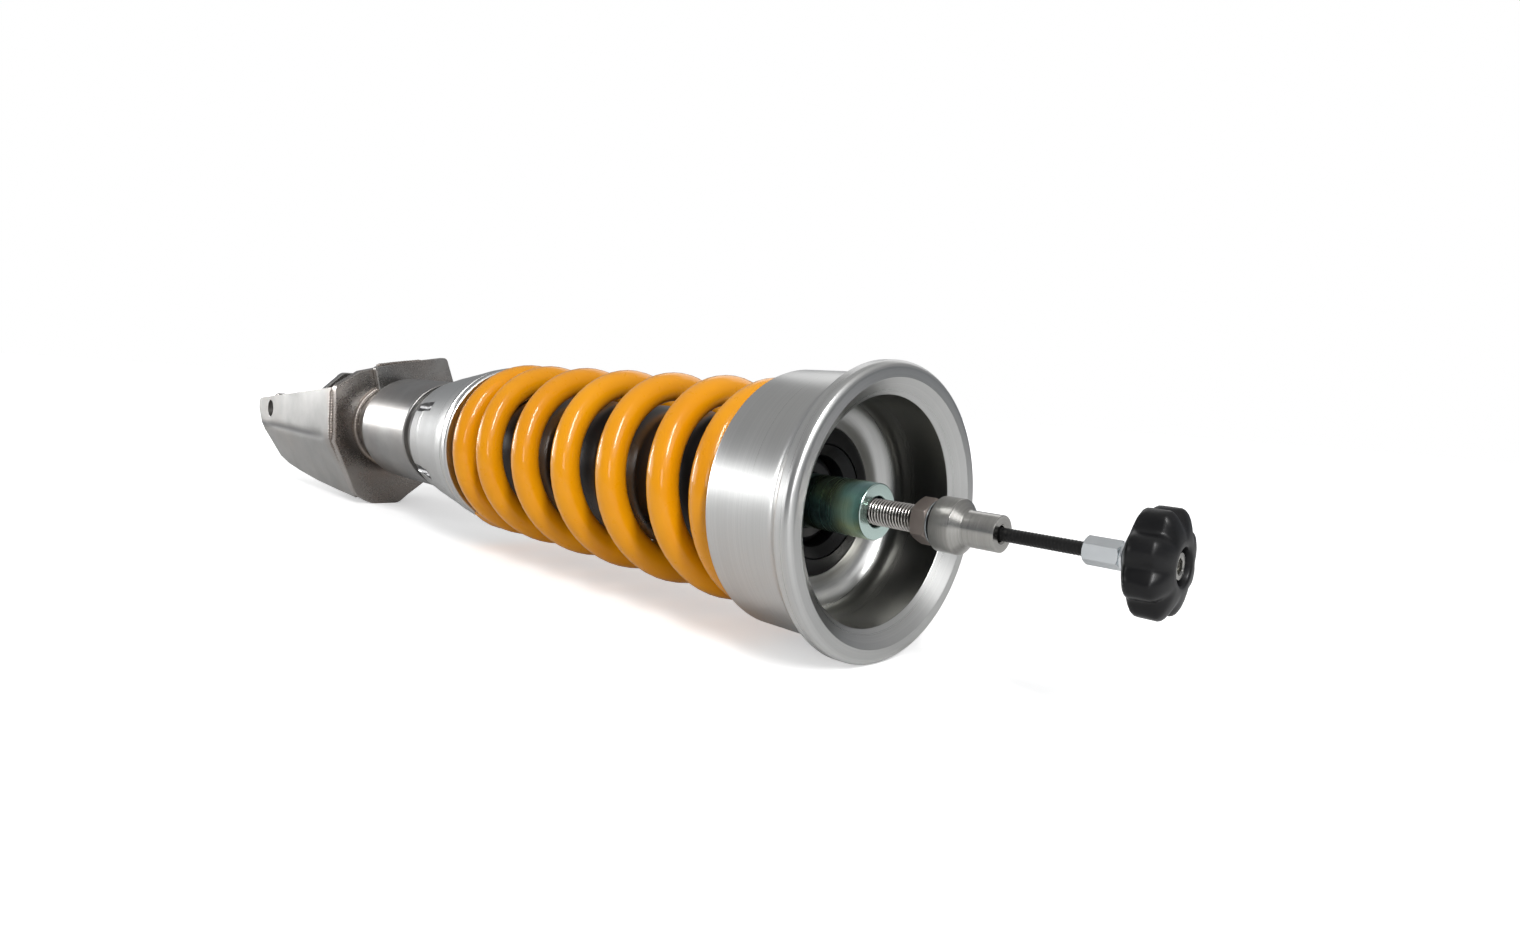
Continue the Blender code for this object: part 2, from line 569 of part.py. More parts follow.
ALUMINIUM = material("satin_aluminium", (0.72, 0.72, 0.72), 0.35, 1.0)
YELLOW_ENAMEL = material("yellow_enamel", (0.83, 0.36, 0.01), 0.25, 0.0)
BLACK_PLASTIC = material("black_plastic", (0.02, 0.02, 0.022), 0.45, 0.0)
BLACK_RUBBER = material("black_rubber", (0.015, 0.015, 0.016), 0.6, 0.0)
BLACK_SHEATH = material("black_sheath", (0.012, 0.012, 0.012), 0.55, 0.0)
ZINC = material("bright_zinc", (0.78, 0.8, 0.82), 0.25, 1.0)
IRIDESCENT_ZINC = material("iridescent_zinc", (0.5, 0.62, 0.6), 0.3, 1.0)
STAINLESS = material("stainless_steel", (0.6, 0.59, 0.57), 0.3, 1.0)
BROWN_STEEL = material("brown_steel", (0.3, 0.24, 0.21), 0.4, 1.0)
STEEL = material("grey_steel", (0.5, 0.5, 0.5), 0.35, 1.0)
GREY_STEEL = material("plated_steel", (0.55, 0.54, 0.52), 0.4, 1.0)
CHROME = material("chrome", (0.7, 0.7, 0.72), 0.1, 1.0)
BRASS = material("brass", (0.8, 0.6, 0.3), 0.3, 1.0)

make_adjuster()
make_rod()
make_piston()
make_cup()
make_mount()
make_boot()
make_spring()
make_seat()
make_body()
make_fork()
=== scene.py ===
import json
import math

import bmesh
import bpy
from mathutils import Matrix, Vector


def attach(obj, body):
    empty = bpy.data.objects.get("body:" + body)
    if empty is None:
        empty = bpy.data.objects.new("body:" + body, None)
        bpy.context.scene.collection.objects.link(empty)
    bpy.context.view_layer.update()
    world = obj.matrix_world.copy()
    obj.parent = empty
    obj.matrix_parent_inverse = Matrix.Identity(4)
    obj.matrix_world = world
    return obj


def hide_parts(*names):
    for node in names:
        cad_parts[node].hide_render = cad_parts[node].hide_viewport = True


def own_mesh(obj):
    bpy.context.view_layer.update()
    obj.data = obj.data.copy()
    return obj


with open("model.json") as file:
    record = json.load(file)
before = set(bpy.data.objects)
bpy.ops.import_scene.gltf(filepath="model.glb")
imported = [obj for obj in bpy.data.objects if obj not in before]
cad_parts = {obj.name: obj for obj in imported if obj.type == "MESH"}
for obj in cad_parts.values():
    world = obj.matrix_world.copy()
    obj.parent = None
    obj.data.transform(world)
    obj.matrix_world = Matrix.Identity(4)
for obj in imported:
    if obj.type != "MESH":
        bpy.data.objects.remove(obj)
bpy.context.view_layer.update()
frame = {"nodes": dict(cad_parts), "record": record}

MM = 0.001
ROD = "rod_assembly"
BODY = "strut_body"

# Sizes in millimetres. A profile's points are (station along the damper's axis, radius).
# Stations grow towards the knob; a second number in (across, rise) pairs is the height over the axis.
AXIS = 53.3
KNOB_FRONT = 336.5
KNOB_BACK = 321.5
KNOB_R = 16.0
KNOB_LOBES = 8
COUPLING_BACK = 309.1
ADAPTER_FRONT = 282.1
ADAPTER_BACK = 258.9
NUT_BACK = 251.7
STUD_TOP = 266.1
SLEEVE_FRONT = 233.5
MOUTH = 240.4
FLANGE_R = 53.3
CUP_R = 48.8
CUP_BORE = 41.0
CUP_FLOOR = 205.9
HUB_END = 192.4
UPPER_SEAT = 200.4
LOWER_SEAT = -11.0
SEAT_BORE = 30.6
BOOT_TOP = 185.4
BOOT_BOTTOM = 10.0
SPRING_R = 39.0
WIRE_R = 6.25
TURNS = 7.7
TUBE_R = 26.5
ROD_R = 7.0
STUD_R = 4.8
CROWN_FRONT = -174.5
CROWN_BACK = -182.5
LEG_FRONT = -182.8
LEG_END = -336.5
LEG_SIDE = 40.0
FOLD = -12.0
GROUND = -AXIS
EYE_X, EYE_RISE, EYE_R = -308.5, 2.0, 6.2


# ---------------------------------------------------------------- materials

def shader_nodes(name, color, roughness, metallic):
    """A new material and its Principled shader, with its fixed values set straight on the shader."""
    mat = bpy.data.materials.new(name)
    mat.use_nodes = True
    bsdf = mat.node_tree.nodes["Principled BSDF"]
    bsdf.inputs["Base Color"].default_value = (*color, 1)
    bsdf.inputs["Roughness"].default_value = roughness
    bsdf.inputs["Metallic"].default_value = metallic
    return mat, bsdf


class Wires:
    """Small helpers that add nodes to one material."""

    def __init__(self, mat):
        self.tree = mat.node_tree
        self.nodes = self.tree.nodes
        self.bsdf = self.nodes["Principled BSDF"]

    def link(self, a, b):
        self.tree.links.new(a, b)

    def math(self, kind, a, b=0.0):
        node = self.nodes.new("ShaderNodeMath")
        node.operation = kind
        for socket, value in zip(node.inputs, (a, b)):
            if isinstance(value, (int, float)):
                socket.default_value = value
            else:
                self.link(value, socket)
        return node.outputs[0]

    def spot(self):
        """The point's own position, in metres."""
        return self.nodes.new("ShaderNodeTexCoord").outputs["Object"]

    def place(self):
        """The point's position, its place along the damper's axis and its distance from it, in metres."""
        spot = self.spot()
        split = self.nodes.new("ShaderNodeSeparateXYZ")
        self.link(spot, split.inputs[0])
        along, side, height = split.outputs
        up = self.math("SUBTRACT", height, AXIS * MM)
        square = self.math("ADD", self.math("MULTIPLY", side, side), self.math("MULTIPLY", up, up))
        return spot, along, self.math("SQRT", square)

    def combine(self, x, y):
        node = self.nodes.new("ShaderNodeCombineXYZ")
        self.link(x, node.inputs[0])
        self.link(y, node.inputs[1])
        return node.outputs[0]

    def noise(self, vector, scale, detail=4.0, rough=0.55):
        node = self.nodes.new("ShaderNodeTexNoise")
        node.inputs["Scale"].default_value = scale
        node.inputs["Detail"].default_value = detail
        node.inputs["Roughness"].default_value = rough
        self.link(vector, node.inputs["Vector"])
        return node.outputs["Fac"]

    def ramp(self, value, stops):
        node = self.nodes.new("ShaderNodeValToRGB")
        self.link(value, node.inputs[0])
        elements = node.color_ramp.elements
        while len(elements) < len(stops):
            elements.new(0.5)
        for element, (place, color) in zip(elements, stops):
            element.position = place
            element.color = (*color, 1) if isinstance(color, tuple) else (color, color, color, 1)
        return node.outputs[0]

    def step(self, value, zero, one):
        """0 where value in millimetres is at zero, 1 where it is at one, and clamped outside."""
        node = self.nodes.new("ShaderNodeMapRange")
        self.link(value, node.inputs["Value"])
        node.inputs["From Min"].default_value = zero * MM
        node.inputs["From Max"].default_value = one * MM
        return node.outputs[0]

    def mix(self, factor, a, b):
        node = self.nodes.new("ShaderNodeMix")
        node.data_type = "RGBA"
        sockets = [s for s in node.inputs if s.type == "RGBA"]
        if isinstance(factor, (int, float)):
            node.inputs[0].default_value = factor
        else:
            self.link(factor, node.inputs[0])
        for socket, value in zip(sockets, (a, b)):
            if isinstance(value, tuple):
                socket.default_value = (*value, 1)
            else:
                self.link(value, socket)
        return [s for s in node.outputs if s.type == "RGBA"][0]

    def bump(self, height, strength, distance=0.0002):
        node = self.nodes.new("ShaderNodeBump")
        node.inputs["Strength"].default_value = strength
        node.inputs["Distance"].default_value = distance
        self.link(height, node.inputs["Height"])
        self.link(node.outputs[0], self.bsdf.inputs["Normal"])

    def color(self, output):
        self.link(output, self.bsdf.inputs["Base Color"])

    def roughness(self, output):
        self.link(output, self.bsdf.inputs["Roughness"])


def turned_metal(name, dark, light, rough, spread, pitch=1.0, recess_shade=None):
    """Lathe-turned metal: fine lines round the axis that stretch its highlights along it, and a little wear.

    recess is a colour, a radius, two stations in millimetres and a taper, for painted shade in bores and
    slots. Between the stations, surfaces nearer the axis than the radius take the colour as painted shade;
    the radius grows by the taper past the first station."""
    mat, bsdf = shader_nodes(name, light, rough, 1.0)
    bsdf.inputs["Anisotropic"].default_value = 0.45
    w = Wires(mat)
    spot, along, radius = w.place()
    fine = w.noise(w.combine(along, radius), 2600 / pitch, 2.0, 0.6)
    broad = w.noise(w.combine(along, radius), 420 / pitch, 2.0, 0.5)
    wear = w.noise(spot, 30, 4.0)
    lathe = w.math("ADD", w.math("MULTIPLY", fine, 0.65), w.math("MULTIPLY", broad, 0.35))
    cloud = w.math("ADD", w.math("MULTIPLY", lathe, 0.75), w.math("MULTIPLY", wear, 0.25))
    look = w.mix(w.ramp(cloud, [(0.32, 0.0), (0.68, 1.0)]), dark, light)
    # Painted shade: between the stations, surfaces nearer the axis than the radius take the dark colour.
    if recess_shade:
        shade, limit, start, end, taper = recess_shade
        surface = w.math("SUBTRACT", radius, w.math("MULTIPLY", w.math("SUBTRACT", along, start * MM), taper))
        between = w.math("MULTIPLY", w.step(along, start, start + 3.5), w.step(along, end, end - 0.1))
        look = w.mix(w.math("MULTIPLY", w.step(surface, limit, limit - 0.08), between), look, shade)
    w.color(look)
    w.roughness(w.ramp(lathe, [(0.3, rough - spread), (0.7, rough + spread)]))
    w.bump(lathe, 0.25, 0.00002)
    tangent = w.nodes.new("ShaderNodeTangent")
    tangent.direction_type = "RADIAL"
    tangent.axis = "X"
    w.link(tangent.outputs[0], bsdf.inputs["Tangent"])
    return mat


def brushed_metal(name, dark, light, rough, spread, warm=None, heat_tint_and_shade=None, seam=False, metallic=1.0):
    """Rolled or plated metal: cloudy, with a fine tooth.

    warm colours a few patches, heat tints the metal round the crown's welds brown and darker, as weld tint
    and as painted shade, and seam paints shade along a leg's fold."""
    mat, _ = shader_nodes(name, light, rough, metallic)
    w = Wires(mat)
    spot, along, _ = w.place()
    cloud = w.noise(spot, 26, 4.0, 0.6)
    grain = w.noise(spot, 900, 3.0, 0.6)
    look = w.mix(w.ramp(cloud, [(0.35, 0.0), (0.68, 1.0)]), dark, light)
    if warm:
        patch = w.ramp(w.noise(spot, 17, 3.0, 0.5), [(0.5, 0.0), (0.72, 0.55)])
        look = w.mix(patch, look, warm)
    # Weld tint and painted shade: near the crown the metal is browned and darkened, fading with distance and
    # noise.
    if heat_tint_and_shade:
        crown = (CROWN_FRONT + CROWN_BACK) / 2 * MM
        far = w.math("ABSOLUTE", w.math("SUBTRACT", along, crown))
        reach = w.math("ADD", w.math("MULTIPLY", far, 22.0), w.math("MULTIPLY", w.noise(spot, 48, 3.0), 0.7))
        look = w.mix(w.ramp(reach, [(0.30, 0.60), (0.72, 0.0)]), look, heat_tint_and_shade)
    # Painted shade: a dark line along the leg's fold, past the crown, where the upper face turns down.
    if seam:
        split = w.nodes.new("ShaderNodeSeparateXYZ")
        w.link(spot, split.inputs[0])
        off = w.math("ABSOLUTE", w.math("SUBTRACT", split.outputs[2], (AXIS + FOLD + 1.5) * MM))
        crease = w.math("MULTIPLY", w.step(off, 3.1, 0.75), 0.7)
        past_crown = w.step(along, -195.0, -225.0)
        look = w.mix(w.math("MULTIPLY", crease, past_crown), look, (0.11, 0.11, 0.115))
    w.color(look)
    w.roughness(w.ramp(w.math("ADD", w.math("MULTIPLY", cloud, 0.6), w.math("MULTIPLY", grain, 0.4)),
                       [(0.3, rough - spread), (0.7, rough + spread)]))
    w.bump(grain, 0.12, 0.00003)
    return mat


def threaded_steel(name, shaded_root, crest, low, high):
    """Rolled thread: bright worn crests over roots painted dark as shade, by distance from the axis in
    millimetres.
    """
    mat, _ = shader_nodes(name, crest, 0.24, 1.0)
    w = Wires(mat)
    spot, _, radius = w.place()
    wear = w.math("MULTIPLY", w.math("SUBTRACT", w.noise(spot, 260, 3.0), 0.5), 0.0006)
    # Painted shade: the thread's roots are coloured near black against its bright crests.
    w.color(w.mix(w.step(w.math("ADD", radius, wear), low, high), shaded_root, crest))
    w.roughness(w.ramp(w.noise(spot, 300, 3.0), [(0.3, 0.2), (0.7, 0.32)]))
    return mat


def iridescent(name):
    """Passivated zinc: dark blue to teal, a green to yellow bloom in broad patches, and the end face painted
    pale as a highlight.
    """
    mat, _ = shader_nodes(name, (0.05, 0.12, 0.13), 0.3, 1.0)
    w = Wires(mat)
    spot, along, radius = w.place()
    drift = w.noise(spot, 42, 1.5, 0.4)
    bloom = w.ramp(drift, [(0.36, (0.12, 0.13, 0.21)), (0.45, (0.26, 0.42, 0.46)), (0.52, (0.42, 0.74, 0.65)),
                           (0.60, (0.58, 0.72, 0.44)), (0.70, (0.24, 0.44, 0.47))])
    # Painted highlight: the sleeve's end face is coloured pale mint.
    face = w.step(along, SLEEVE_FRONT - 0.6, SLEEVE_FRONT - 0.2)
    w.color(w.mix(face, bloom, (0.66, 0.82, 0.77)))
    fine = w.noise(w.combine(along, radius), 1900, 2.0, 0.6)
    w.roughness(w.ramp(fine, [(0.3, 0.20), (0.7, 0.28)]))
    w.bump(fine, 0.15, 0.00002)
    return mat


def enamel(name):
    """Thick gloss enamel over shot-peened spring wire, a little dusty."""
    mat, bsdf = shader_nodes(name, (0.78, 0.30, 0.002), 0.3, 0.0)
    bsdf.inputs["Specular IOR Level"].default_value = 0.2
    bsdf.inputs["Coat Weight"].default_value = 0.7
    bsdf.inputs["Coat Roughness"].default_value = 0.05
    bsdf.inputs["Coat IOR"].default_value = 1.40
    w = Wires(mat)
    spot = w.spot()
    tone = w.noise(spot, 19, 4.0, 0.55)
    w.color(w.mix(w.ramp(tone, [(0.34, 0.0), (0.7, 1.0)]), (0.76, 0.29, 0.0012), (0.86, 0.36, 0.002)))
    peel = w.noise(spot, 330, 3.0, 0.5)
    w.roughness(w.ramp(peel, [(0.3, 0.26), (0.7, 0.38)]))
    w.bump(peel, 0.08, 0.00005)
    return mat


def black(name, color, rough, spread, grain_scale, grain, coat=0.0, gloss=0.5):
    """Black rubber or plastic with its own tooth."""
    mat, bsdf = shader_nodes(name, color, rough, 0.0)
    bsdf.inputs["Specular IOR Level"].default_value = gloss
    if coat:
        bsdf.inputs["Coat Weight"].default_value = coat
        bsdf.inputs["Coat Roughness"].default_value = 0.18
    w = Wires(mat)
    spot = w.spot()
    cloud = w.noise(spot, 60, 4.0)
    tooth = w.noise(spot, grain_scale, 3.0, 0.6)
    lighter = tuple(c * 1.7 + 0.002 for c in color)
    w.color(w.mix(w.ramp(cloud, [(0.4, 0.0), (0.8, 1.0)]), color, lighter))
    w.roughness(w.ramp(cloud, [(0.3, rough - spread), (0.7, rough + spread)]))
    w.bump(tooth, grain, 0.00004)
    return mat


ALUMINIUM = ((0.54, 0.543, 0.535), (0.66, 0.663, 0.652), 0.30, 0.04)
# Painted shade for the cup's bore: its inner wall is coloured dark grey.
BORE_PAINTED_SHADE = (0.19, 0.187, 0.172)
# Painted shade for the spanner slots of the spring seat and lock ring: their walls and floors are coloured
# near black.
SLOT_PAINTED_SHADE = (0.035, 0.035, 0.036)

LOOKS = {
    "satin_aluminium": turned_metal("satin_aluminium", *ALUMINIUM,
                                    recess_shade=(BORE_PAINTED_SHADE, 41.35, 208.6, 235.38, 0.0)),
    # The seat's and lock ring's looks are the aluminium with painted shade in their slots.
    "seat_aluminium_slot_shade": turned_metal("seat_aluminium_slot_shade", *ALUMINIUM,
                                   recess_shade=(SLOT_PAINTED_SHADE, 33.85, -78.6, -48.6, 0.148)),
    "ring_aluminium_slot_shade": turned_metal("ring_aluminium_slot_shade", *ALUMINIUM,
                                   recess_shade=(SLOT_PAINTED_SHADE, 33.6, -78.6, -60.0, 0.148)),
    "stainless_steel": turned_metal("stainless_steel", (0.30, 0.297, 0.28), (0.54, 0.53, 0.505), 0.215, 0.03,
                                    pitch=0.6),
    "brown_steel": brushed_metal("brown_steel", (0.27, 0.222, 0.20), (0.46, 0.40, 0.365), 0.32, 0.06,
                                 metallic=0.75),
    # The thread's dark root colour is painted shade.
    "thread_steel": threaded_steel("thread_steel", (0.05, 0.045, 0.042), (0.66, 0.63, 0.60), 4.05, 4.72),
    "bright_zinc": brushed_metal("bright_zinc", (0.60, 0.64, 0.66), (0.82, 0.85, 0.87), 0.22, 0.06),
    "iridescent_zinc": iridescent("iridescent_zinc"),
    "chrome": brushed_metal("chrome", (0.62, 0.62, 0.63), (0.74, 0.74, 0.76), 0.09, 0.02),
    "brass": turned_metal("brass", (0.62, 0.44, 0.20), (0.80, 0.60, 0.30), 0.3, 0.05),
    "grey_steel": turned_metal("grey_steel", (0.34, 0.335, 0.33), (0.52, 0.515, 0.51), 0.3, 0.06),
    "plated_steel": brushed_metal("plated_steel", (0.30, 0.295, 0.285), (0.50, 0.495, 0.48), 0.27, 0.06,
                                  warm=(0.38, 0.32, 0.27), heat_tint_and_shade=(0.30, 0.23, 0.19)),
    "leg_steel": brushed_metal("leg_steel", (0.30, 0.296, 0.287), (0.46, 0.455, 0.44), 0.36, 0.06,
                               warm=(0.42, 0.37, 0.33), heat_tint_and_shade=(0.30, 0.23, 0.19), seam=True),
    "sleeve_steel": brushed_metal("sleeve_steel", (0.24, 0.238, 0.235), (0.40, 0.395, 0.385), 0.33, 0.05,
                                  warm=(0.30, 0.26, 0.23), heat_tint_and_shade=(0.22, 0.17, 0.14)),
    "weld": brushed_metal("weld", (0.22, 0.19, 0.17), (0.42, 0.38, 0.35), 0.34, 0.08, warm=(0.40, 0.30, 0.2)),
    "yellow_enamel": enamel("yellow_enamel"),
    "black_rubber": black("black_rubber", (0.006, 0.006, 0.0065), 0.32, 0.06, 700, 0.2, gloss=0.3),
    "black_plastic": black("black_plastic", (0.014, 0.014, 0.015), 0.42, 0.06, 900, 0.2),
    "knob_plastic": black("knob_plastic", (0.003, 0.003, 0.0035), 0.36, 0.05, 520, 0.12,
                          coat=0.03, gloss=0.3),
    "black_sheath": black("black_sheath", (0.004, 0.004, 0.004), 0.38, 0.06, 1500, 0.3, gloss=0.3),
}


# ---------------------------------------------------------------- shapes

def arc(x, r, radius, start, end, count):
    """Points on an arc about (x, r), from start to end in degrees, measured from +X towards larger radii."""
    angles = [math.radians(start + (end - start) * i / count) for i in range(count + 1)]
    return [(x + radius * math.cos(a), r + radius * math.sin(a)) for a in angles]


def soften(points, width=0.35, closed=True):
    """Breaks each sharp corner of a profile or outline with a small round."""
    out = []
    count = len(points)
    for i, point in enumerate(points):
        here = Vector(point)
        if not closed and i in (0, count - 1):
            out.append(tuple(here))
            continue
        back, ahead = Vector(points[i - 1]) - here, Vector(points[(i + 1) % count]) - here
        if back.length < 1e-6 or ahead.length < 1e-6 or back.angle(ahead) > math.radians(152):
            out.append(tuple(here))
            continue
        reach = min(width, back.length * 0.45, ahead.length * 0.45)
        a, b = here + back.normalized() * reach, here + ahead.normalized() * reach
        for t in (0.0, 0.33, 0.67, 1.0):
            out.append(tuple(a * (1 - t) ** 2 + here * 2 * t * (1 - t) + b * t * t))
    return out


def finish_piece(obj, look, body, nodes=(), sharp=24, firm=True):
    """Shades a piece, gives it its look, parents it to its body's empty and hides the CAD nodes it stands
    for. A firm piece keeps its flats flat beside its small rounds, by weighing its normals by area."""
    mesh = obj.data
    mesh.shade_smooth()
    mesh.set_sharp_from_angle(angle=math.radians(sharp))
    if firm:
        modifier = obj.modifiers.new("normals", "WEIGHTED_NORMAL")
        modifier.weight = 80
        modifier.keep_sharp = True
        settle(obj)
        mesh = obj.data
    mesh.materials.clear()
    mesh.materials.append(LOOKS[look])
    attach(obj, body)
    if nodes:
        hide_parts(*nodes)
    return obj


def new_object(name, bm):
    bmesh.ops.recalc_face_normals(bm, faces=bm.faces)
    mesh = bpy.data.meshes.new(name)
    bm.to_mesh(mesh)
    bm.free()
    obj = bpy.data.objects.new(name, mesh)
    bpy.context.scene.collection.objects.link(obj)
    return obj


def revolve(name, profile, steps=128, shape=None):
    """A body of revolution about the damper's axis from a closed (station, radius) profile.

    Points on the axis become poles. shape may move a point: it takes (x, r, angle) and gives (x, r)."""
    bm = bmesh.new()
    rings = []
    for x, r in profile:
        if r < 1e-6:
            rings.append([bm.verts.new((x * MM, 0, AXIS * MM))])
            continue
        ring = []
        for k in range(steps):
            a = 2 * math.pi * k / steps
            px, pr = shape(x, r, a) if shape else (x, r)
            ring.append(bm.verts.new((px * MM, pr * MM * math.cos(a), (AXIS + pr * math.sin(a)) * MM)))
        rings.append(ring)
    poles = len(rings[0]) == 1
    pairs = list(zip(rings, rings[1:])) + ([] if poles else [(rings[-1], rings[0])])
    for one, two in pairs:
        for k in range(steps):
            j = (k + 1) % steps
            if len(one) == 1:
                bm.faces.new((one[0], two[j], two[k]))
            elif len(two) == 1:
                bm.faces.new((one[k], one[j], two[0]))
            else:
                bm.faces.new((one[k], one[j], two[j], two[k]))
    return new_object(name, bm)


def skin(bm, rings):
    """Joins each ring of points to the next one, and closes both ends."""
    for one, two in zip(rings, rings[1:]):
        for k in range(len(one)):
            j = (k + 1) % len(one)
            bm.faces.new((one[k], one[j], two[j], two[k]))
    bm.faces.new(rings[0])
    bm.faces.new(rings[-1])


def tube_profile(front, back, bore, radius, chamfer):
    return soften([(front, bore), (front, radius), (back, radius), (back, bore)], chamfer)


def carve(obj, cutter):
    """Cuts cutter out of obj for good, and removes the cutter."""
    modifier = obj.modifiers.new("carve", "BOOLEAN")
    modifier.operation = "DIFFERENCE"
    modifier.solver = "EXACT"
    modifier.object = cutter
    settle(obj)
    bpy.data.objects.remove(cutter, do_unlink=True)


def settle(obj):
    """Replaces an object's mesh by its evaluated one."""
    graph = bpy.context.evaluated_depsgraph_get()
    mesh = bpy.data.meshes.new_from_object(obj.evaluated_get(graph))
    obj.modifiers.clear()
    obj.data = mesh


def slot_cutter(x, length, reach, radius, count):
    """Round bars for cutting spanner slots along the axis, evenly spaced round it at a distance reach."""
    bm = bmesh.new()
    for i in range(count):
        turn = Matrix.Rotation(2 * math.pi * i / count, 4, "X")
        place = Matrix.Translation(Vector((x, 0, reach)) * MM) @ Matrix.Rotation(math.pi / 2, 4, "Y")
        bmesh.ops.create_cone(bm, cap_ends=True, segments=40, radius1=radius * MM, radius2=radius * MM,
                              depth=length * MM, matrix=Matrix.Translation((0, 0, AXIS * MM)) @ turn @ place)
    return new_object("cutter", bm)


def rod_cutter(centre, direction, radius, length, sides=64):
    """A cylinder for cutting a hole, centred on a point given as (x, y, rise)."""
    bm = bmesh.new()
    turn = Vector(direction).to_track_quat("Z", "Y").to_matrix().to_4x4()
    place = Matrix.Translation(Vector((centre[0], centre[1], AXIS + centre[2])) * MM)
    bmesh.ops.create_cone(bm, cap_ends=True, segments=sides, radius1=radius * MM, radius2=radius * MM,
                          depth=length * MM, matrix=place @ turn)
    return new_object("cutter", bm)


def sixfold(a):
    """The angle from the middle of the nearest of six flats."""
    return (a + math.pi / 6) % (math.pi / 3) - math.pi / 6


def hexagon(name, front, back, flats, bore, chamfer):
    """A hexagonal nut: flats limited by a chamfer cone at both ends."""
    corner = flats / math.sqrt(3)
    edge = bore + 0.4
    top = flats / 2 - chamfer
    rise = math.tan(math.radians(30))
    depths = [i / 10 * (corner - top) for i in range(11)]
    profile = [(front, edge), *[(front - d * rise, top + d) for d in depths],
               *[(back + d * rise, top + d) for d in reversed(depths)],
               (back, edge), (back + 0.4, bore), (front - 0.4, bore)]

    def shape(x, r, a):
        if r < edge + 1e-6:
            return x, r
        return x, min(r, flats / 2 / math.cos(sixfold(a)))

    return revolve(name, profile, 120, shape)


def thread(pitch, depth, start, end):
    """A shape function that adds a thread between two stations, fading out over one pitch at each end."""
    def shape(x, r, a):
        inside = min((x - start) / pitch, (end - x) / pitch)
        if inside <= 0:
            return x, r
        wave = abs(((x / pitch - a / (2 * math.pi)) % 1.0) * 2 - 1)
        return x, r - depth * min(inside, 1.0) * (1 - min(max(wave * 1.25 - 0.1, 0.0), 1.0))
    return shape


def stations(start, end, step):
    count = max(int(abs(end - start) / step), 1)
    return [start + (end - start) * i / count for i in range(count + 1)]


# ---------------------------------------------------------------- adjuster

def make_knob():
    """The lobed knob: each ring is a station, a radius and how deep its scallops are."""
    rings = [
        (KNOB_BACK + 0.3, 3.0, 0), (KNOB_BACK, 3.4, 0), (KNOB_BACK, 5.0, 0), (KNOB_BACK + 0.4, 6.2, 0.02),
        (KNOB_BACK + 1.5, 9.0, 0.2), (KNOB_BACK + 2.7, 12.0, 0.6), (KNOB_BACK + 3.7, 14.2, 1.1),
        (KNOB_BACK + 4.5, 15.4, 1.6), (KNOB_BACK + 5.2, 15.9, 2.0), (KNOB_BACK + 6.2, KNOB_R, 2.2),
        (KNOB_BACK + 9.0, KNOB_R, 2.4), (KNOB_FRONT - 3.9, KNOB_R, 2.6), (KNOB_FRONT - 3.2, 15.7, 2.7),
        (KNOB_FRONT - 2.5, 15.0, 2.6), (KNOB_FRONT - 1.8, 13.8, 2.2), (KNOB_FRONT - 1.1, 12.0, 1.5),
        (KNOB_FRONT - 0.5, 10.0, 0.8), (KNOB_FRONT - 0.1, 7.6, 0.1), (KNOB_FRONT, 6.2, 0),
        (KNOB_FRONT - 0.2, 5.6, 0), (KNOB_FRONT - 0.6, 5.3, 0), (KNOB_FRONT - 3.0, 5.1, 0),
        (KNOB_FRONT - 3.1, 3.0, 0),
    ]
    dips = {(x, r): dip for x, r, dip in rings}
    turned = 0.36

    def shape(x, r, a):
        valley = (0.5 - 0.5 * math.cos(KNOB_LOBES * (a + turned))) ** 1.7
        return x, r - dips[x, r] * valley

    knob = revolve("knob_grip", [(x, r) for x, r, _ in rings], 192, shape)
    finish_piece(knob, "knob_plastic", "adjuster", ["adjuster_knob"], sharp=50, firm=False)


def make_knob_screw():
    head = KNOB_FRONT - 2.7
    rim = soften([(head - 0.1, 3.9), (head + 1.6, 3.9), (head + 1.6, 2.6)], 0.3, False)
    key = 2.3
    profile = [(head - 0.1, 0), *rim, (head + 1.3, key), (head, key), (head, 0)]

    def socket(x, r, a):
        return (x, 2.05 / math.cos(sixfold(a))) if r == key else (x, r)

    screw = revolve("knob_socket_screw", profile, 96, socket)
    finish_piece(screw, "stainless_steel", "adjuster", ["knob_screw"])


def make_adjuster():
    make_knob()
    make_knob_screw()
    washer = revolve("knob_back_washer", tube_profile(321.2, 320.4, 1.2, 4.6, 0.2), 64)
    finish_piece(washer, "bright_zinc", "adjuster", ["knob_washer"])
    coupling = hexagon("shaft_hex_coupling", 320.1, COUPLING_BACK, 7.6, 2.1, 0.45)
    finish_piece(coupling, "bright_zinc", "adjuster", ["shaft_coupling"])
    front, back, radius = COUPLING_BACK + 5.5, STUD_TOP + 1.3, 2.2

    def braid(x, r, a):
        if r < 1.7:
            return x, r
        return x, r - 0.10 * (0.5 + 0.5 * math.cos(2 * math.pi * (x / 1.15) - 2 * a)) - 0.03 * math.cos(6 * a)

    profile = [(front, 0), (front, 1.6), *[(x, radius) for x in stations(front - 0.2, back + 0.2, 0.14)],
               (back, 1.6), (back, 0)]
    sheath = revolve("drive_shaft_sheath", profile, 40, braid)
    finish_piece(sheath, "black_sheath", "adjuster", ["flex_shaft"], sharp=60, firm=False)


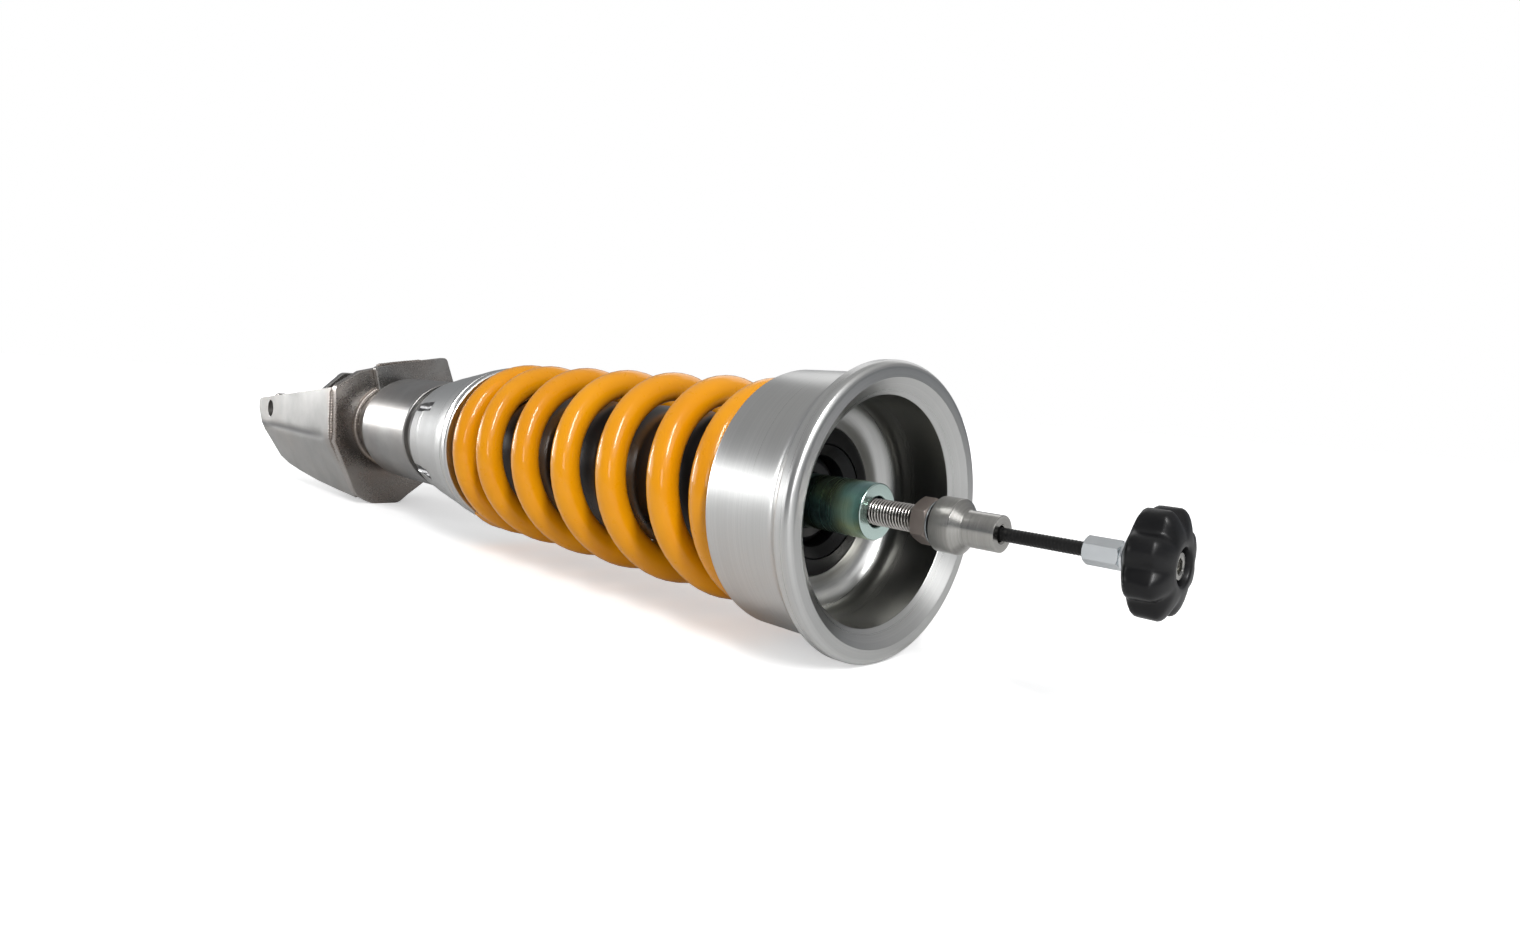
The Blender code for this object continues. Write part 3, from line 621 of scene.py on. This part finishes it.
def make_adapter():
    neck, wide, groove = 270.6, 267.8, 260.4
    outer = soften([(ADAPTER_FRONT, 3.3), (ADAPTER_FRONT, 6.0), (neck, 6.0), (wide, 9.25), (groove, 9.25),
                    (groove, 7.4), (ADAPTER_BACK, 7.4), (ADAPTER_BACK, 5.2)], 0.2, False)
    inner = [(STUD_TOP + 0.3, 5.2), (STUD_TOP + 0.3, 2.7), (ADAPTER_FRONT - 0.6, 2.7)]
    adapter = revolve("adjuster_adapter_body", outer + inner, 128)
    finish_piece(adapter, "stainless_steel", ROD, ["adjuster_adapter"], sharp=9)
    ring = revolve("adapter_seal_ring", arc(ADAPTER_BACK + 0.8, 7.85, 0.5, 0, 330, 11), 96)
    finish_piece(ring, "black_rubber", ROD, sharp=60)
    washer_back = ADAPTER_BACK - 0.9
    nut = hexagon("adapter_jam_nut", washer_back, NUT_BACK, 14.0, 5.2, 0.35)
    finish_piece(nut, "brown_steel", ROD, ["adapter_locknut"])
    washer = revolve("jam_nut_washer", tube_profile(ADAPTER_BACK - 0.3, washer_back, 5.2, 7.5, 0.15), 96)
    finish_piece(washer, "bright_zinc", ROD)


def make_rod():
    """The hollow rod, threaded above the spacer sleeve and necked down for the piston."""
    thread_end, shoulder, neck, end = 226.0, 188.9, 12.2, -19.8
    tip = soften([(STUD_TOP, STUD_R - 0.5), (STUD_TOP - 0.5, STUD_R)], 0.1, False)
    profile = [(STUD_TOP, 2.5), *tip, *[(x, STUD_R) for x in stations(STUD_TOP - 0.6, thread_end, 0.125)],
               (shoulder, STUD_R), (shoulder, ROD_R - 0.5), (shoulder - 0.5, ROD_R), (neck + 0.5, ROD_R),
               (neck, ROD_R - 0.5), (neck, 4.0), (end + 0.5, 4.0), (end, 3.5), (end, 2.0),
               (STUD_TOP - 0.8, 2.0)]
    rod = revolve("threaded_piston_rod", profile, 64, thread(1.25, 0.92, thread_end, STUD_TOP - 0.5))
    finish_piece(rod, "thread_steel", ROD, ["piston_rod"], sharp=60, firm=False)
    back = HUB_END - 0.9
    sleeve = soften([(SLEEVE_FRONT, 5.6), (SLEEVE_FRONT, 10.25), (back, 10.25), (back, 5.6)], 0.6)
    finish_piece(revolve("zinc_spacer_sleeve", sleeve, 128), "iridescent_zinc", ROD, ["spacer_sleeve"])


# ---------------------------------------------------------------- cup, mount, spring and boot

def make_cup():
    """The turned cup: flanged mouth, plain skirt over the top coil, hub for the mount, coved bore."""
    skirt, rim = CUP_R - 0.12, 196.7
    profile = [
        (MOUTH - 0.15, 47.3), (MOUTH, 47.5), *arc(MOUTH - 2.8, FLANGE_R - 2.8, 2.8, 0, 90, 10),
        (234.4, FLANGE_R), (233.7, FLANGE_R - 0.3), (233.2, FLANGE_R - 0.9),
        *arc(226.4, 55.8, 7.0, 325, 270, 12), (224.6, CUP_R), (224.5, skirt), (rim + 1.3, skirt),
        (rim + 0.3, CUP_R - 0.4), (rim, CUP_R - 1.0),
        (rim, 46.4), (rim + 0.4, 46.0), (UPPER_SEAT, 45.9), (UPPER_SEAT, 32.2), (HUB_END + 1.0, 32.2),
        (HUB_END, 31.2), (HUB_END, 28.3), (CUP_FLOOR - 0.4, 28.3), (CUP_FLOOR, 28.7),
        *arc(CUP_FLOOR + 10, CUP_BORE - 10, 10, 180, 90, 16),
        (220.0, 41.03), (228.0, 41.14), (235.2, 41.25), (235.45, 41.4), (MOUTH - 0.3, 47.1),
    ]
    cup = revolve("turned_spring_cup", profile, 224)
    finish_piece(cup, "satin_aluminium", ROD, ["upper_spring_cup"], sharp=20)


def make_mount():
    """The rubber mount in the cup's floor, and the washer and bump stop under it."""
    inner = 17.6
    rubber = [
        (CUP_FLOOR - 1.0, inner + 0.6), (CUP_FLOOR - 0.2, inner + 1.6),
        *arc(CUP_FLOOR - 0.2, 20.6, 1.8, 20, 90, 5),
        (CUP_FLOOR + 1.6, 22.0), (CUP_FLOOR + 1.5, 26.0), (CUP_FLOOR + 1.1, 27.6), (CUP_FLOOR + 0.4, 28.2),
        (CUP_FLOOR + 0.1, 28.0), (HUB_END + 0.4, 28.0), (HUB_END, 27.6),
        (HUB_END, inner), (CUP_FLOOR - 1.4, inner),
    ]
    finish_piece(revolve("mount_rubber_bush", rubber, 128), "black_rubber", ROD, ["mount_bush"], sharp=40)
    back = HUB_END - 0.9
    core = soften([(200.9, 10.65), (200.9, 14.5), (198.4, 17.3), (back, 17.3), (back, 10.65)], 0.4)
    finish_piece(revolve("mount_core_ring", core, 96), "black_plastic", ROD, ["bush_core"])
    washer = revolve("bump_stop_washer", tube_profile(191.2, 189.2, 5.3, 24.0, 0.4), 96)
    finish_piece(washer, "grey_steel", ROD, ["bump_washer"])
    stop = [
        (188.6, 7.6), (188.6, 19.4), (188.0, 20.0), *arc(184.0, 18.4, 1.6, 90, 60, 2), (179.6, 20.0),
        (178.6, 18.0), (177.4, 17.0), (176.2, 17.6), (175.6, 19.0), (168.6, 18.4), (167.4, 17.6),
        (165.8, 15.2), (164.6, 15.4), (163.6, 16.5), (156.5, 14.0), (155.0, 13.0), (154.5, 12.0),
        (154.5, 7.6),
    ]
    finish_piece(revolve("microcellular_bump_stop", stop, 96), "black_rubber", ROD, ["bump_stop"], sharp=50)


def make_boot():
    """The dust boot, with shallow folds, and the band that holds its lower end."""
    first, last, fold = 179.0, 20.0, 22.7
    outer = [(BOOT_TOP, 22.0), (BOOT_TOP, 29.2), (BOOT_TOP - 0.5, 30.0), (BOOT_TOP - 1.4, 30.3)]
    for x in stations(first, last, 1.6):
        outer.append((x, 29.75 + 0.6 * math.cos(2 * math.pi * (first - x) / fold)))
    outer += [(last - 2, 28.95), (BOOT_BOTTOM + 0.4, 28.95), (BOOT_BOTTOM, 28.5)]
    inner = [(x, r - 1.3) for x, r in reversed(outer[3:])]
    boot = revolve("rubber_dust_boot", outer + inner + [(BOOT_TOP - 1.3, 28.0), (BOOT_TOP - 1.3, 22.0)], 112)
    finish_piece(boot, "black_rubber", BODY, ["dust_boot"], sharp=40, firm=False)
    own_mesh(boot)
    band = revolve("boot_band_clamp", tube_profile(17.0, 12.0, 29.2, 30.2, 0.25), 112)
    finish_piece(band, "grey_steel", BODY, ["boot_clamp"])


def spring_pitch(turn):
    """Pitch at this many turns from the fork's end: closed end coils that open smoothly."""
    closed, active = 12.6, 33.4
    near = min(turn, TURNS - turn)
    opening = min(max((near - 0.75) / 1.05, 0.0), 1.0)
    return closed + (active - closed) * opening * opening * (3 - 2 * opening)


def make_spring():
    """The coil spring: round wire on a helix whose ends close up and are ground flat."""
    gap, tip, lead = 0.3, 3.1, 0.85
    low, high = LOWER_SEAT + gap, UPPER_SEAT - gap
    per_turn, around = 56, 28
    count = round(TURNS * per_turn)
    place = [0.0]
    for i in range(count):
        place.append(place[-1] + spring_pitch((i + 0.5) * TURNS / count) * TURNS / count)
    stretch = (high - low - 2 * tip) / place[-1]
    end_sizes = {0: 0.84, 1: 0.94}
    bm = bmesh.new()
    rings = []
    for i in range(count + 1):
        turn = 2 * math.pi * (i * TURNS / count - lead)
        radial = Vector((0, -math.cos(turn), -math.sin(turn)))
        centre = Vector((low + tip + place[i] * stretch, 0, AXIS)) + radial * SPRING_R
        size = WIRE_R * end_sizes.get(min(i, count - i), 1.0)
        ring = []
        for k in range(around):
            a = 2 * math.pi * k / around
            point = centre + radial * (size * math.cos(a)) + Vector((size * math.sin(a), 0, 0))
            point.x = min(max(point.x, low), high)
            ring.append(bm.verts.new(point * MM))
        rings.append(ring)
    skin(bm, rings)
    spring = new_object("enamelled_coil_spring", bm)
    finish_piece(spring, "yellow_enamel", BODY, ["coil_spring"], sharp=40, firm=False)
    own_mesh(spring)


# ---------------------------------------------------------------- perch and tube

def make_perch():
    """The threaded sleeve on the tube, the spring's lower seat and its lock ring, both slotted."""
    crest = 30.0
    sleeve = [(2, 26.8), (2, 29.4), *[(x, crest) for x in stations(1.4, -3.0, 0.25)],
              *[(x, crest) for x in stations(-60.0, -87.4, 0.25)], (-88.0, 29.6), (-88, 31.7),
              *arc(-88.9, 31.6, 0.9, 0, 90, 5), *arc(-148.8, 31.3, 1.2, 90, 180, 5), (-150, 26.8)]
    body = revolve("threaded_perch_sleeve", sleeve, 144, thread(2.0, 0.75, -87.0, 1.6))
    finish_piece(body, "sleeve_steel", BODY, ["perch_sleeve"], sharp=30)
    collar = [
        (-4, SEAT_BORE), (-4, 31.2), (-5, 32.2), (LOWER_SEAT, 32.2), (LOWER_SEAT, 42.4), (-11.3, 43.0),
        (-11.9, 43.4), (-14.6, 43.4), (-15.0, 43.2), (-15.0, 40.4), (-17.3, 40.4), (-17.3, 42.2),
        (-17.6, 42.8), (-18.4, 43.0), (-24, 42.35), (-32, 41.0), (-40, 39.75), (-46, 38.9),
        (-52, 37.9), (-59.2, 36.9), (-60, 36.2),
        (-60, SEAT_BORE),
    ]
    seat = revolve("spring_seat_cone", collar, 144)
    carve(seat, slot_cutter(-55.5, 13.0, 37.6, 3.0, 6))
    finish_piece(seat, "seat_aluminium_slot_shade", BODY, ["spring_seat_collar"], sharp=9)
    ring = soften([(-60.6, SEAT_BORE), (-60.6, 36.4), (-74.6, 34.3), (-74.6, SEAT_BORE)], 0.6)
    lock = revolve("slotted_lock_ring", ring, 144)
    carve(lock, slot_cutter(-67.6, 18.0, 36.2, 3.0, 6))
    finish_piece(lock, "ring_aluminium_slot_shade", "lock_ring_body", ["lock_ring"], sharp=9)


def make_tube():
    """The damper's tube, its bottom plug and the gas screw."""
    top, bottom = 79, -226.5
    wall = soften([(top, 22.5), (top, TUBE_R), (bottom, TUBE_R), (bottom, 22.5)], 0.6)
    finish_piece(revolve("damper_body_tube", wall, 128), "grey_steel", BODY, ["body_tube"])
    cap = soften([(-212.5, 3.3), (-212.5, 22.1), (-226.8, 22.1), (-226.8, 26.2), (-231.5, 26.2),
                  (-231.5, 3.3)], 0.6)
    finish_piece(revolve("tube_bottom_plug", cap, 112), "grey_steel", BODY, ["tube_end_cap"])
    head = soften([(-231.8, 5.0), (-235.1, 5.0), (-235.1, 1.8)], 0.5, False)
    profile = [(-219.5, 0), (-219.5, 2.9), (-231.8, 2.9), *head, (-233.4, 1.7), (-233.4, 0)]

    def socket(x, r, a):
        return (x, (r - 0.15) / math.cos(sixfold(a))) if 1.6 < r < 1.9 else (x, r)

    screw = revolve("gas_fill_screw", profile, 96, socket)
    finish_piece(screw, "bright_zinc", BODY, ["gas_valve_screw"])


# ---------------------------------------------------------------- fork

def plate(name, outline, front, back):
    """A flat plate square to the axis from its (across, rise) outline, with rounded corners."""
    corner, edge = 2.5, 0.9
    bm = bmesh.new()
    points = soften(outline, corner)
    loops = []
    for x in (front, back):
        loops.append([bm.verts.new(Vector((x, across, AXIS + rise)) * MM) for across, rise in points])
    count = len(points)
    for i in range(count):
        j = (i + 1) % count
        bm.faces.new((loops[0][i], loops[0][j], loops[1][j], loops[1][i]))
    bm.faces.new(loops[0])
    bm.faces.new(loops[1][::-1])
    obj = new_object(name, bm)
    carve(obj, rod_cutter(((front + back) / 2, 0, 0), (1, 0, 0), TUBE_R + 0.3, abs(front - back) + 10, 96))
    bevel = obj.modifiers.new("edges", "BEVEL")
    bevel.width = edge * MM
    bevel.segments = 3
    bevel.limit_method = "ANGLE"
    bevel.angle_limit = math.radians(50)
    settle(obj)
    return obj


CROWN = [(40, 24), (40, -14), (30, -32), (17, -42), (9, -48), (3, GROUND), (-15, GROUND), (-26, -47),
         (-LEG_SIDE, FOLD), (-LEG_SIDE, 24.5), (-25, 35), (-12, 38.5), (24, 41)]
TAB = [(20, 4), (41, 17), (39, 24), (30.6, 48.5), (-2, 42.2), (-18, 38.5), (-14, 20)]
BULKHEAD = [(35.4, 18), (35.4, -10), (22.5, -33), (-22, -36), (-35.4, -10), (-35.4, 18), (-20, 33), (20, 33)]
REACH = (LEG_FRONT, -215.0, -250.0, -284.0, -305.0, -318.0, -324.0, LEG_END)
NEAR_LOW = (-50.0, -48.5, -46.5, -42.8, -39.5, -34.5, -20.0, 0.5)
FAR_LOW = (-36.0, -36.0, -36.0, -35.0, -32.5, -28.0, -18.5, 0.5)


def along(x, xs, ys):
    """A value read from a table along the leg, eased between its entries."""
    for (x0, y0), (x1, y1) in zip(zip(xs, ys), zip(xs[1:], ys[1:])):
        if x1 <= x <= x0:
            return y0 + (y1 - y0) * (x0 - x) / (x0 - x1)
    return ys[-1] if x < xs[-1] else ys[0]


def leg(name, side, low, foot, body_node):
    """A pressed fork leg: flat above, folded inwards below a soft crease, its thickness inside the skin."""
    foot_in, foot_drop = foot
    slope = (LEG_SIDE - foot_in) / (foot_drop - FOLD)
    soft = 1.6

    def across(rise, depth):
        below = FOLD - rise
        eased = soft * math.log1p(math.exp(min(below / soft, 30.0))) if below < 30 * soft else below
        swage = depth * math.exp(-((rise - FOLD - 1.5) / 2.4) ** 2)
        return side * (LEG_SIDE + slope * (eased - soft * math.log1p(math.exp((FOLD - 24) / soft))) - swage)

    columns, rows, thick = 44, 48, 4.0
    bm = bmesh.new()
    grid = []
    for i in range(columns + 1):
        x = LEG_FRONT + (LEG_END - LEG_FRONT) * (i / columns) ** 0.9
        high = 23.2 + 0.097 * (x - LEG_FRONT)
        high = min(high, 6.0 + (x - LEG_END) * 0.9)
        base = along(x, REACH, low)
        pressed = 0.8 * min(max((x + 318) / 16, 0.0), max((-192 - x) / 12, 0.0), 1.0)
        grid.append([bm.verts.new(Vector((x, across(z, pressed), AXIS + z)) * MM)
                     for z in [high + (base - high) * k / rows for k in range(rows + 1)]])
    for one, two in zip(grid, grid[1:]):
        for k in range(rows):
            face = (one[k], one[k + 1], two[k + 1], two[k])
            bm.faces.new(face if side < 0 else face[::-1])
    mesh = bpy.data.meshes.new(name)
    bm.to_mesh(mesh)
    bm.free()
    obj = bpy.data.objects.new(name, mesh)
    bpy.context.scene.collection.objects.link(obj)
    sheet = obj.modifiers.new("plate", "SOLIDIFY")
    sheet.thickness = thick * MM
    sheet.offset = 1
    sheet.use_even_offset = True
    settle(obj)
    carve(obj, rod_cutter((EYE_X, side * LEG_SIDE, EYE_RISE), (0, 1, 0), EYE_R, 20))
    bevel = obj.modifiers.new("edges", "BEVEL")
    bevel.width = 0.7 * MM
    bevel.segments = 2
    bevel.limit_method = "ANGLE"
    bevel.angle_limit = math.radians(50)
    settle(obj)
    finish_piece(obj, "leg_steel", BODY, [body_node], sharp=35)


def eye_boss(name, side, node):
    """The ring welded inside a leg round its eye."""
    inner = LEG_SIDE - 4.3
    profile = soften([(0, EYE_R), (0, 11.5), (6.5, 11.5), (6.5, EYE_R)], 0.8)
    boss = revolve(name, profile, 96)
    turn = Matrix.Rotation(side * math.pi / 2, 4, "Z")
    shift = Matrix.Translation(Vector((EYE_X, side * inner, AXIS + EYE_RISE)) * MM)
    flip = Matrix.Rotation(math.pi, 4, "Z")
    boss.data.transform(shift @ turn @ flip @ Matrix.Translation((0, 0, -AXIS * MM)))
    boss.data.update()
    finish_piece(boss, "plated_steel", BODY, [node])


def bead(name, path, radius=1.7, seed=0.0):
    """A weld bead: a rippled round laid along a path of (x, across, rise) points."""
    points = [Vector((x, y, AXIS + z)) * MM for x, y, z in path]
    dense = []
    for a, b in zip(points, points[1:]):
        count = max(int((b - a).length / (0.5 * MM)), 1)
        dense += [a.lerp(b, i / count) for i in range(count)]
    dense.append(points[-1])
    sides, bm, rings, run = 12, bmesh.new(), [], 0.0
    for i, point in enumerate(dense):
        ahead = (dense[min(i + 1, len(dense) - 1)] - dense[max(i - 1, 0)]).normalized()
        run += (point - dense[i - 1]).length / MM if i else 0.0
        out = ahead.cross(Vector((1, 0, 0))).normalized()
        fade = min(1.0, 0.35 + 0.65 * min(i, len(dense) - 1 - i) / 4)
        ripple = 1 + 0.10 * math.cos(2 * math.pi * run / 1.9 + seed) + 0.04 * math.sin(run * 0.7 + seed)
        size = radius * MM * fade * ripple
        ring = []
        for k in range(sides):
            a = 2 * math.pi * k / sides
            ring.append(bm.verts.new(point + Vector((math.cos(a), 0, 0)) * size + out * (math.sin(a) * size)))
        rings.append(ring)
    skin(bm, rings)
    finish_piece(new_object(name, bm), "weld", BODY, sharp=60, firm=False)


def circle_path(x, radius, start, end):
    """Points of a bead's path round the tube, between two angles in degrees."""
    count = 60
    angles = [math.radians(start + (end - start) * i / count) for i in range(count + 1)]
    return [(x, radius * math.cos(a), radius * math.sin(a)) for a in angles]


def make_fork():
    """The crown plate, link tab and bulkhead on the tube, the two pressed legs, their eyes and the welds."""
    finish_piece(plate("crown_plate", CROWN, CROWN_FRONT, CROWN_BACK), "plated_steel", BODY, ["fork_crown"])
    finish_piece(plate("drop_link_tab", TAB, -168.5, -174.2), "plated_steel", BODY, ["link_tab"])
    finish_piece(plate("rear_bulkhead", BULKHEAD, -218.5, -224.5), "plated_steel", BODY, ["fork_bulkhead"])
    leg("pressed_leg_near", -1, NEAR_LOW, (21.0, GROUND), "fork_leg_near")
    leg("pressed_leg_far", 1, FAR_LOW, (27.0, -36.0), "fork_leg_far")
    eye_boss("eye_ring_near", -1, "eye_boss_near")
    eye_boss("eye_ring_far", 1, "eye_boss_far")
    bead("weld_crown_front_near", circle_path(CROWN_FRONT + 0.2, TUBE_R + 0.9, 105, 345), 1.9)
    seam = CROWN_BACK - 0.1
    near = [(seam, -39.6, 22.0), (seam, -39.8, 0.0), (seam, -39.4, FOLD + 2), (seam, -37.6, FOLD - 3),
            (seam, -24.5, -44.0)]
    far = [(seam, 39.6, 22.0), (seam, 39.8, 0.0), (seam, 39.2, FOLD + 2), (seam, 37.2, FOLD - 3),
           (seam, 29.0, -31.0)]
    bead("weld_leg_near", near, 1.8, 1.0)
    bead("weld_leg_far", far, 1.8, 2.0)
    bead("weld_tab", [(-171.0, -16.5, 39.6), (-171.0, -2.0, 42.4), (-171.0, 14.0, 45.0)], 0.9, 0.5)


make_adjuster()
make_adapter()
make_rod()
make_cup()
make_mount()
make_boot()
make_spring()
make_perch()
make_tube()
make_fork()

# ---------------------------------------------------------------- CAD nodes that show as they are

slots = {entry["node"]: entry["material_slot"] for entry in frame["record"]["subparts"]}
for node, obj in frame["nodes"].items():
    obj.data.materials.clear()
    obj.data.materials.append(LOOKS[slots[node]])

# ---------------------------------------------------------------- stage, light and camera


def make_floor():
    """A pale floor that runs out to white: brighter to the eye than in reflections."""
    bm = bmesh.new()
    bmesh.ops.create_grid(bm, x_segments=1, y_segments=1, size=8.0)
    floor = new_object("floor", bm)
    mat, bsdf = shader_nodes("floor_white", (0.62, 0.62, 0.62), 0.8, 0.0)
    w = Wires(mat)
    path = w.nodes.new("ShaderNodeLightPath")
    seen = path.outputs["Is Camera Ray"]
    coord = w.nodes.new("ShaderNodeTexCoord")
    reach = w.nodes.new("ShaderNodeVectorMath")
    reach.operation = "LENGTH"
    w.link(coord.outputs["Object"], reach.inputs[0])
    glow = w.ramp(w.math("MULTIPLY", reach.outputs["Value"], 0.5), [(0.10, 0.42), (0.6, 1.0)])
    w.color(w.mix(seen, (0.72, 0.72, 0.72), (0.95, 0.95, 0.95)))
    bsdf.inputs["Emission Color"].default_value = (1, 1, 1, 1)
    w.link(w.math("MULTIPLY", glow, seen), bsdf.inputs["Emission Strength"])
    floor.data.materials.append(mat)


def softbox(name, toward, size, radiance, distance=1.4):
    """An area light seen from the object in the direction toward, of a given brightness."""
    centre = Vector((0.12, 0.0, 0.05))
    data = bpy.data.lights.new(name, "AREA")
    data.shape = "RECTANGLE"
    data.size, data.size_y = size
    data.energy = radiance * math.pi * size[0] * size[1]
    obj = bpy.data.objects.new(name, data)
    bpy.context.scene.collection.objects.link(obj)
    obj.location = centre + Vector(toward).normalized() * distance
    obj.rotation_euler = Vector(toward).to_track_quat("Z", "Y").to_euler()


def studio():
    """A pale room, darker at eye level, with soft boxes; white where it is seen directly."""
    scene = bpy.context.scene
    scene.view_settings.view_transform = "Standard"
    world = bpy.data.worlds.new("studio")
    world.use_nodes = True
    scene.world = world
    tree = world.node_tree
    back = tree.nodes["Background"]
    coord = tree.nodes.new("ShaderNodeTexCoord")
    split = tree.nodes.new("ShaderNodeSeparateXYZ")
    ramp = tree.nodes.new("ShaderNodeValToRGB")
    half = tree.nodes.new("ShaderNodeMath")
    half.operation = "MULTIPLY_ADD"
    half.inputs[1].default_value = 0.5
    half.inputs[2].default_value = 0.5
    path = tree.nodes.new("ShaderNodeLightPath")
    pick = tree.nodes.new("ShaderNodeMix")
    pick.data_type = "RGBA"
    tree.links.new(coord.outputs["Generated"], split.inputs[0])
    tree.links.new(split.outputs[2], half.inputs[0])
    tree.links.new(half.outputs[0], ramp.inputs[0])
    stops = [(0.0, (0.6, 0.6, 0.6)), (0.49, (0.6, 0.6, 0.6)), (0.51, (0.20, 0.21, 0.23)),
             (0.60, (0.22, 0.23, 0.24)), (0.70, (0.30, 0.30, 0.31)), (0.85, (0.38, 0.38, 0.38)),
             (1.0, (0.50, 0.50, 0.50))]
    elements = ramp.color_ramp.elements
    while len(elements) < len(stops):
        elements.new(0.5)
    for element, (place, value) in zip(elements, stops):
        element.position = place
        element.color = (*value, 1)
    colors = [s for s in pick.inputs if s.type == "RGBA"]
    tree.links.new(path.outputs["Is Camera Ray"], pick.inputs[0])
    tree.links.new(ramp.outputs[0], colors[0])
    colors[1].default_value = (1.0, 1.0, 1.0, 1)
    tree.links.new([s for s in pick.outputs if s.type == "RGBA"][0], back.inputs[0])
    softbox("key", (0.72, -0.40, 0.68), (0.17, 0.62), 36)
    softbox("fill_right", (0.86, -0.12, 0.46), (0.8, 0.45), 1.7, distance=1.6)
    softbox("left_strip", (-0.79, -0.60, 0.17), (0.95, 0.34), 3.3)
    softbox("camera_side", (0.66, -0.70, 0.22), (0.30, 0.30), 5.0)
    softbox("left_window", (-0.93, -0.34, 0.15), (0.17, 0.36), 15)
    softbox("rear", (-0.30, 0.75, 0.60), (1.3, 0.6), 0.9)


def make_camera():
    """The view that matches the photo."""
    data = bpy.data.cameras.new("camera")
    data.sensor_width = 36
    data.sensor_fit = "HORIZONTAL"
    data.lens = 20.484
    data.clip_start = 0.01
    obj = bpy.data.objects.new("camera", data)
    bpy.context.scene.collection.objects.link(obj)
    right = Vector((0.70736, 0.70312, 0.07213))
    forward = Vector((-0.69743, 0.71087, -0.09011))
    up = right.cross(forward)
    turn = Matrix((right, up, -forward)).transposed().to_4x4()
    obj.matrix_world = Matrix.Translation((0.41504, -0.24538, 0.09064)) @ turn
    bpy.context.scene.camera = obj


make_floor()
studio()
make_camera()
